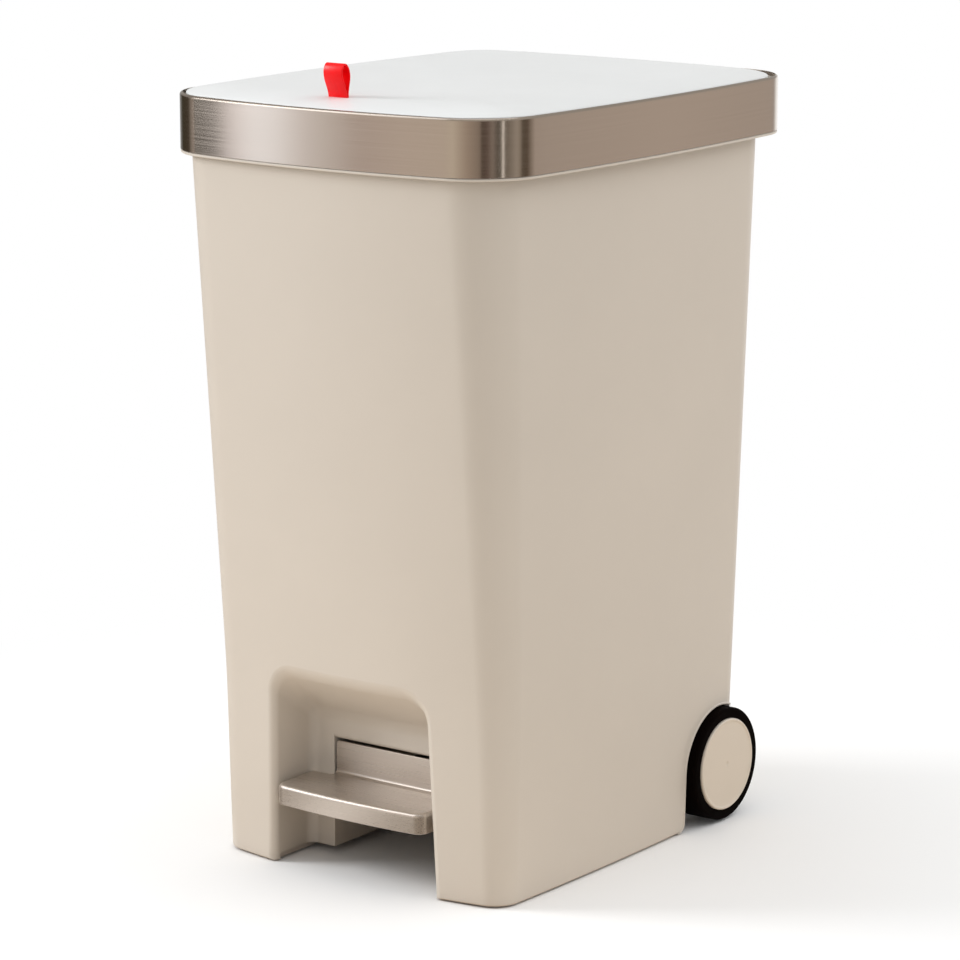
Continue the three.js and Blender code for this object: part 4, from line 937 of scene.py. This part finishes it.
def make_lid():
    inner = LID_INSET + LID_SHELL
    under = [LID_INSET + LID_CROWN_WIDTH * (1 - i / 16) for i in range(16)]
    under = [inset for inset in under if inset > inner + 1.5]
    top = [LID_INSET + LID_CROWN_WIDTH * (0.05 + 0.95 * i / 18) for i in range(19)]
    low = LID_EDGE - LID_SKIRT
    section = [(inset, crown_at(inset) - LID_SHELL) for inset in under]
    section += [(inner, crown_at(inner) - LID_SHELL), (inner, low + 0.4), (inner - 0.4, low)]
    section += [(LID_INSET + 0.4, low), (LID_INSET, low + 0.4)]
    section += arc((LID_INSET + LID_ROUND, LID_EDGE - LID_ROUND), LID_ROUND, 180, 100, 6)
    section += [(inset, crown_at(inset)) for inset in top]
    shell = skin("lid", [ring(LID, inset, z) for inset, z in section])
    boss_top = LID_EDGE + LID_CROWN - LID_SHELL / 2
    places = PANEL_SCREWS + PLATE_SCREWS
    shell = join(shell, *[bar(BOSS, (x, y, PANEL_TOP + FIT), (x, y, boss_top)) for x, y in places])
    holes = [bar(SCREW + FIT, (x, y, PANEL_BOTTOM), (x, y, boss_top - LID_SHELL), 16) for x, y in places]
    swing = HINGE_Z - WEB_TOP - 2 * LID_ROUND
    reach = BAND["rear"] + BAND["rear_bow"] - LID_INSET - LID_REAR_GAP - HINGE_Y
    rear_skirt = math.sqrt(max(swing**2 - reach**2, 1.0))
    holes.append(box((-PAST_SIDE, HINGE_Y - 1.0, WEB_BOTTOM), (PAST_SIDE, PAST_REAR, HINGE_Z - rear_skirt)))
    half = LUG_SPAN + 2.0
    for x in (-HINGE_X, HINGE_X):
        high = (x + half, PAST_REAR, LID_EDGE - LID_SHELL)
        holes.append(box((x - half, HINGE_Y - 3 * KNUCKLE, WEB_BOTTOM), high))
    shell = cut(shell, *holes)
    deep = LOOP_SURFACE - LID_SHELL / 2
    ends = [side * CLIP_SCREW_X for side in (-1, 1)]
    shell = join(shell, *[bar(BOSS, (x, LOOP_Y, CLIP_TOP + FIT), (x, LOOP_Y, deep)) for x in ends])
    holes = [bar(SCREW + FIT, (x, LOOP_Y, CLIP_TOP), (x, LOOP_Y, deep), 16) for x in ends]
    stem = LOOP_STRAP + 2 * FIT
    half = LOOP_HALF + FIT
    holes.append(box((-half, LOOP_Y - stem, WEB_BOTTOM), (half, LOOP_Y + stem, PAST_TOP)))
    return cut(shell, *holes)


dress(soften(make_lid()), "lid", "lid_panel")


def loop_path():
    """The strap's middle line as (y, z) points: one foot, up, round and down to the other foot."""
    half_strap = LOOP_STRAP / 2
    stem = LOOP_STRAP + FIT / 2 - half_strap
    side = []
    steps = 30
    for i in range(steps + 1):
        h = math.sin(math.radians(90) * i / steps)
        if h < LOOP_WIDEST:
            bulge = (1 - math.cos(math.pi * h / LOOP_WIDEST)) / 2
        else:
            bulge = math.sqrt(max(1 - ((h - LOOP_WIDEST) / (1 - LOOP_WIDEST)) ** 2, 0.0))
        half = stem * (1 - h**8) + (LOOP_DEPTH - LOOP_STRAP - FIT / 2) * bulge
        side.append((half, LOOP_SURFACE + h * (LOOP_HEIGHT - half_strap), -LOOP_LEAN * h))
    foot_z = LOOP_FOOT_TOP - LOOP_FOOT / 2
    foot = [(4.6, foot_z), (3.2, foot_z), (1.8, foot_z + 0.25)]
    foot += [(stem + 0.25, foot_z + 0.9), (stem, foot_z + 2.0)]
    rear = [(LOOP_Y + half, z) for half, z in foot] + [(LOOP_Y + lean + half, z) for half, z, lean in side]
    front = [(LOOP_Y - half, z) for half, z in foot] + [(LOOP_Y + lean - half, z) for half, z, lean in side]
    return front + list(reversed(rear[:-1]))


def make_loop():
    """A flat strap with rounded edges, swept along its middle line."""
    path = loop_path()
    half, thick, edge = LOOP_HALF, LOOP_STRAP / 2, LOOP_EDGE
    section = []
    for x, y, start in ((half, thick, 0), (-half, thick, 90), (-half, -thick, 180), (half, -thick, 270)):
        centre = (x - math.copysign(edge, x), y - math.copysign(edge, y))
        section += arc(centre, edge, start, start + 90, 3)
    rings = []
    for i, (y, z) in enumerate(path):
        before, after = path[max(i - 1, 0)], path[min(i + 1, len(path) - 1)]
        run = Vector((after[0] - before[0], after[1] - before[1])).normalized()
        out = Vector((-run.y, run.x))
        squeeze = 0.9 if i in (0, len(path) - 1) else 1.0
        rings.append([(x * squeeze, y + out.x * t * squeeze, z + out.y * t * squeeze) for x, t in section])
    return skin("strap", rings)


dress(soften(make_loop(), 60.0, weighted=False), "lid", "pull_loop")

# ---------------- pedal

TREAD_FRONT = -plan_at(TREAD_TOP)["front"] - FRONT_BOW - TREAD_PROUD
TREAD_REAR = RECESS_BACK - TREAD_WALL_GAP
TREAD_HALF_FRONT = recess_half(TREAD_TOP) - TREAD_FRONT_SIDE_GAP
TREAD_HALF_REAR = recess_half(TREAD_TOP) - TREAD_REAR_SIDE_GAP
PLATE_FACE = RECESS_BACK + FIT


def tread_outline(inset):
    half = TREAD_HALF_FRONT - inset
    front = TREAD_FRONT + inset
    corner = max(TREAD_CORNER - inset, 1.0)
    flat_half = half - corner
    edge = []
    for i in range(33):
        x = -flat_half + 2 * flat_half * i / 32
        edge.append((x, front + TREAD_BOW * (x / half) ** 2))
    corner_y = front + TREAD_BOW * (flat_half / half) ** 2 + corner
    right = arc((flat_half, corner_y), corner, -82, 0, 14)
    left = arc((-flat_half, corner_y), corner, 180, 262, 14)
    rear_half = TREAD_HALF_REAR - inset
    rear = [(rear_half, TREAD_REAR - 3.0), (rear_half, TREAD_REAR)]
    return edge + right + rear + [(-x, y) for x, y in reversed(rear)] + left


def make_pedal():
    low = TREAD_TOP - TREAD_SKIRT
    under = TREAD_TOP - TREAD_SHEET
    levels = [(TREAD_SHEET + 3.0, under), (TREAD_SHEET + 0.8, under - 0.3), (TREAD_SHEET, under - 1.2)]
    levels += [(TREAD_SHEET, low + 0.5), (TREAD_SHEET - 0.5, low), (0.6, low), (0.0, low + 0.6)]
    for i in range(7):
        angle = math.radians(15 * i)
        levels.append((TREAD_ROUND * (1 - math.cos(angle)), TREAD_TOP - TREAD_ROUND * (1 - math.sin(angle))))
    tray = skin("pedal", [[(x, y, z) for x, y in tread_outline(inset)] for inset, z in levels])
    opened = box(
        (-TREAD_HALF_REAR + TREAD_SHEET, TREAD_REAR - TREAD_SHEET - 1.0, low - WALL),
        (TREAD_HALF_REAR - TREAD_SHEET, TREAD_REAR + WALL, under),
    )
    trim = box((-PAST_SIDE, TREAD_REAR - 0.6, low - WALL), (PAST_SIDE, TREAD_REAR + WALL, TREAD_TOP + WALL))
    high = TREAD_TOP + PLATE_HEIGHT
    back = PLATE_FACE + TREAD_SHEET
    root = TREAD_REAR - PLATE_ROOT
    profile = [(root, under), (back - FOLD, under)]
    profile += arc((back - FOLD, under + FOLD), FOLD, -70, 0, 5)
    profile += arc((back - PLATE_EDGE, high - PLATE_EDGE), PLATE_EDGE, 0, 90, 4)
    profile += arc((PLATE_FACE + PLATE_EDGE, high - PLATE_EDGE), PLATE_EDGE, 90, 180, 4)
    profile += arc((PLATE_FACE - FOLD, TREAD_TOP + FOLD), FOLD, 0, -90, 6)
    upright = prism("x", profile + [(root, TREAD_TOP)], -PLATE_HALF, PLATE_HALF)
    face = [(-PLATE_HALF, low), (PLATE_HALF, low)]
    corner = PLATE_CORNER
    face += arc((PLATE_HALF - corner, high - corner), corner, 0, 90, 8)
    face += arc((corner - PLATE_HALF, high - corner), corner, 90, 180, 8)
    upright = combine(upright, ("INTERSECT", prism("y", face, PAST_FRONT, PAST_REAR)))
    screw_y = (TREAD_FRONT + TREAD_REAR) / 2 + 2 * PEDAL_BOSS
    deep = TREAD_TOP - TREAD_SHEET / 2
    ends = [side * PEDAL_SCREW_X for side in (-1, 1)]
    bosses = [bar(BOSS, (x, screw_y, under - PEDAL_BOSS), (x, screw_y, deep)) for x in ends]
    plate = join(cut(tray, opened, trim), upright, *bosses)
    return cut(plate, *[bar(SCREW + FIT, (x, screw_y, low), (x, screw_y, deep), 16) for x in ends])


dress(soften(make_pedal()), "pedal", "pedal_plate")

# ---------------- carried-over pieces

for name, obj in frame["nodes"].items():
    if obj.hide_render:
        continue
    finish = FINISHES[CAD_SLOTS[name]]
    for place in obj.material_slots:
        place.material = finish.material

# ---------------- floor, light and surroundings

AMBIENT_LOW, AMBIENT_HIGH = 0.46, 0.98
FLOOR_RADIUS = 2.2
FLOOR_SEEN = (0.95, 0.95, 0.955, 1.0)
# Painted shade: the floor's bounce colour under the bin, a dim brown that keeps the bin's underside and
# recess dark.
BOUNCE_UNDER_PAINTED_SHADE = (0.3, 0.17, 0.06, 1.0)
BOUNCE_BESIDE = (0.93, 0.8, 0.66, 1.0)
PAINTED_SHADE_EXTENT = (("X", 0.13, 0.17), ("Y", 0.16, 0.22))
FLOOR_FADE = (0.3, 0.85)


def background_share(tree):
    """1 for camera, glossy and transmission rays, and 0 for the rays that light the object."""
    path = add_node(tree, "LightPath")
    value = path.outputs["Is Camera Ray"]
    for output in ("Is Glossy Ray", "Is Transmission Ray"):
        most = add_node(tree, "Math", {0: value, 1: path.outputs[output]}, operation="MAXIMUM")
        value = most.outputs["Value"]
    return value


def make_world():
    world = bpy.data.worlds.new("studio")
    scene.world = world
    world.use_nodes = True
    tree = world.node_tree
    ambient = tree.nodes["Background"]
    ambient.inputs["Color"].default_value = (1.0, 1.0, 0.99, 1.0)
    split = add_node(tree, "SeparateXYZ", {"Vector": add_node(tree, "TexCoord").outputs["Generated"]})
    inputs = {"Value": split.outputs["Z"], "To Min": AMBIENT_LOW, "To Max": AMBIENT_HIGH}
    height = add_node(tree, "MapRange", inputs)
    tree.links.new(height.outputs["Result"], ambient.inputs["Strength"])
    white_back = add_node(tree, "Background", {"Color": (1.0, 1.0, 1.0, 1.0), "Strength": 1.0})
    shaders = {1: ambient.outputs["Background"], 2: white_back.outputs["Background"]}
    mix = add_node(tree, "MixShader", {"Fac": background_share(tree), **shaders})
    tree.links.new(mix.outputs["Shader"], tree.nodes["World Output"].inputs["Surface"])


def smooth_share(tree, value, start, end):
    """A smooth step from 0 to 1 as a value goes from start to end."""
    inputs = {"Value": value, "From Min": start, "From Max": end}
    return add_node(tree, "MapRange", inputs, interpolation_type="SMOOTHSTEP").outputs["Result"]


def studio_mesh(name, points, faces):
    """A mesh object with an empty material, and that material's nodes."""
    mesh = bpy.data.meshes.new(name)
    mesh.from_pydata(points, [], faces)
    obj = bpy.data.objects.new(name, mesh)
    scene.collection.objects.link(obj)
    material = bpy.data.materials.new(name)
    material.use_nodes = True
    tree = material.node_tree
    tree.nodes.remove(tree.nodes["Principled BSDF"])
    mesh.materials.append(material)
    return obj, tree


def make_floor():
    """A pale floor that keeps the shadow near the bin and turns to plain white away from it.

    The light that it throws back is warm. Under the bin that light is dimmed to a dark brown, a painted shade
    that darkens the bin's underside and its recess.
    """
    circle = [(x, y, 0.0) for x, y in arc((0, 0), FLOOR_RADIUS, 0, 360, 96)[:-1]]
    floor, tree = studio_mesh("floor", circle, [tuple(range(len(circle)))])
    seen = background_share(tree)
    place = add_node(tree, "TexCoord").outputs["Object"]
    split = add_node(tree, "SeparateXYZ", {"Vector": place})
    shares = []
    for axis, start, end in PAINTED_SHADE_EXTENT:
        size = add_node(tree, "Math", {0: split.outputs[axis]}, operation="ABSOLUTE")
        shares.append(smooth_share(tree, size.outputs["Value"], start, end))
    outside = add_node(tree, "Math", {0: shares[0], 1: shares[1]}, operation="MAXIMUM")
    # Painted shade: under the bin the bounce colour turns to the dim brown.
    inputs = {"A": BOUNCE_UNDER_PAINTED_SHADE, "B": BOUNCE_BESIDE, "Factor": outside.outputs["Value"]}
    bounce = add_node(tree, "Mix", inputs, data_type="RGBA")
    inputs = {"A": bounce.outputs["Result"], "B": FLOOR_SEEN, "Factor": seen}
    tone = add_node(tree, "Mix", inputs, data_type="RGBA")
    diffuse = add_node(tree, "BsdfDiffuse", {"Color": tone.outputs["Result"]})
    glow = add_node(tree, "Emission", {"Color": (1.0, 1.0, 1.0, 1.0), "Strength": 1.0})
    length = add_node(tree, "VectorMath", {0: place}, operation="LENGTH")
    away = smooth_share(tree, length.outputs["Value"], *FLOOR_FADE)
    share = add_node(tree, "Math", {0: seen, 1: away}, operation="MULTIPLY")
    shaders = {1: diffuse.outputs["BSDF"], 2: glow.outputs["Emission"]}
    mix = add_node(tree, "MixShader", {"Fac": share.outputs["Value"], **shaders})
    tree.links.new(mix.outputs["Shader"], tree.nodes["Material Output"].inputs["Surface"])


def area_light(name, place, target, size, energy, colour):
    """A soft lamp that faces a target."""
    data = bpy.data.lights.new(name, "AREA")
    data.shape = "RECTANGLE"
    data.size, data.size_y = size
    data.energy = energy
    data.color = colour
    lamp = bpy.data.objects.new(name, data)
    lamp.location = place
    lamp.rotation_euler = (Vector(target) - Vector(place)).to_track_quat("-Z", "Y").to_euler()
    scene.collection.objects.link(lamp)


def between(stops, azimuth):
    """The colour at an azimuth, blended between the stops on each side of it."""
    for (start, first), (end, last) in zip(stops, stops[1:]):
        if start <= azimuth <= end:
            share = (azimuth - start) / (end - start)
            return tuple(a + (b - a) * share for a, b in zip(first, last)) + (1.0,)
    return stops[-1][1] + (1.0,)


def make_surround(rows):
    """A ring of studio light and shade that only shows in reflections.

    Each row is a radius and a height in metres, and its stops. A stop is an azimuth in degrees, from the
    front towards the right, and a colour.
    """
    points, colours, faces = [], [], []
    for radius, height, stops in rows:
        for azimuth in range(-180, 180):
            angle = math.radians(azimuth)
            points.append((radius * math.sin(angle), -radius * math.cos(angle), height))
            colours.append(between(stops, azimuth))
    for row in range(len(rows) - 1):
        for i in range(360):
            j = (i + 1) % 360
            faces.append((row * 360 + i, row * 360 + j, row * 360 + 360 + j, row * 360 + 360 + i))
    surround, tree = studio_mesh("surround", points, faces)
    layer = surround.data.color_attributes.new(name="glow", type="FLOAT_COLOR", domain="POINT")
    for place, colour in zip(layer.data, colours):
        place.color = colour
    stored = add_node(tree, "Attribute", attribute_name="glow")
    glow = add_node(tree, "Emission", {"Color": stored.outputs["Color"]})
    tree.links.new(glow.outputs["Emission"], tree.nodes["Material Output"].inputs["Surface"])
    for rays in ("camera", "diffuse", "transmission", "volume_scatter", "shadow"):
        setattr(surround, f"visible_{rays}", False)


make_world()
make_floor()
area_light("key", (-3.3, -2.1, 2.2), (0.0, 0.0, 0.4), (1.4, 1.8), 102.0, (0.99, 0.995, 1.0))
area_light("side", (2.2, 0.9, 3.0), (0.0, 0.0, 0.35), (2.4, 2.2), 24.0, (1.0, 0.995, 0.98))
area_light("edge", (0.7, 3.2, 0.9), (0.0, 0.0, 0.3), (1.0, 1.0), 10.0, (1.0, 1.0, 1.0))

WALL_STOPS = [
    (-180, (1.2, 1.2, 1.2)),
    (-160, (1.1, 1.1, 1.1)),
    (-148, (0.5, 0.48, 0.46)),
    (-115, (0.4, 0.4, 0.4)),
    (-98, (0.06, 0.05, 0.03)),
    (-73, (0.08, 0.06, 0.04)),
    (-67, (0.3, 0.26, 0.22)),
    (-59, (0.34, 0.28, 0.24)),
    (-56, (0.05, 0.04, 0.02)),
    (-49, (0.03, 0.02, 0.01)),
    (-46.5, (0.9, 0.85, 0.88)),
    (-42, (1.3, 1.35, 1.45)),
    (-38, (1.25, 1.28, 1.35)),
    (-33, (0.92, 0.88, 0.87)),
    (-28, (0.76, 0.7, 0.66)),
    (-24, (0.62, 0.52, 0.47)),
    (-17, (0.74, 0.64, 0.56)),
    (6, (0.82, 0.73, 0.61)),
    (26, (0.53, 0.43, 0.35)),
    (41, (0.35, 0.28, 0.23)),
    (43, (0.1, 0.07, 0.05)),
    (49, (0.15, 0.1, 0.08)),
    (55, (0.34, 0.28, 0.24)),
    (61, (0.12, 0.1, 0.08)),
    (66, (0.2, 0.18, 0.15)),
    (67, (2.4, 2.3, 2.2)),
    (68.5, (0.2, 0.17, 0.14)),
    (74, (0.26, 0.22, 0.18)),
    (86, (0.48, 0.42, 0.36)),
    (91, (0.38, 0.32, 0.26)),
    (95, (0.12, 0.09, 0.06)),
    (105, (0.12, 0.08, 0.05)),
    (113, (0.34, 0.28, 0.23)),
    (125, (0.6, 0.52, 0.46)),
    (140, (0.66, 0.57, 0.5)),
    (152, (0.58, 0.5, 0.44)),
    (163, (0.5, 0.44, 0.4)),
    (174, (1.1, 1.1, 1.1)),
    (180, (1.2, 1.2, 1.2)),
]
SKY_STOPS = [
    (-180, (0.45, 0.43, 0.4)),
    (-54, (0.3, 0.27, 0.25)),
    (-48, (2.4, 2.4, 2.45)),
    (-30, (2.1, 2.1, 2.1)),
    (-12, (0.5, 0.45, 0.4)),
    (180, (0.45, 0.43, 0.4)),
]
FLOOR_STOPS = [
    (-180, (1.0, 1.0, 1.0)),
    (-150, (0.9, 0.9, 0.9)),
    (-90, (0.4, 0.35, 0.3)),
    (-50, (0.2, 0.16, 0.12)),
    (-36, (0.3, 0.25, 0.2)),
    (-28, (0.85, 0.8, 0.75)),
    (-21, (1.4, 1.35, 1.3)),
    (-14, (0.75, 0.7, 0.65)),
    (-6, (0.35, 0.3, 0.25)),
    (10, (0.25, 0.2, 0.15)),
    (60, (0.2, 0.15, 0.1)),
    (130, (0.5, 0.45, 0.4)),
    (165, (0.9, 0.9, 0.9)),
    (180, (1.0, 1.0, 1.0)),
]
make_surround([
    (0.27, 0.002, FLOOR_STOPS),
    (0.9, 0.002, FLOOR_STOPS),
    (1.3, 0.05, WALL_STOPS),
    (1.3, 0.74, WALL_STOPS),
    (1.3, 0.9, SKY_STOPS),
    (1.3, 2.9, SKY_STOPS),
])

scene.view_settings.view_transform = "Standard"
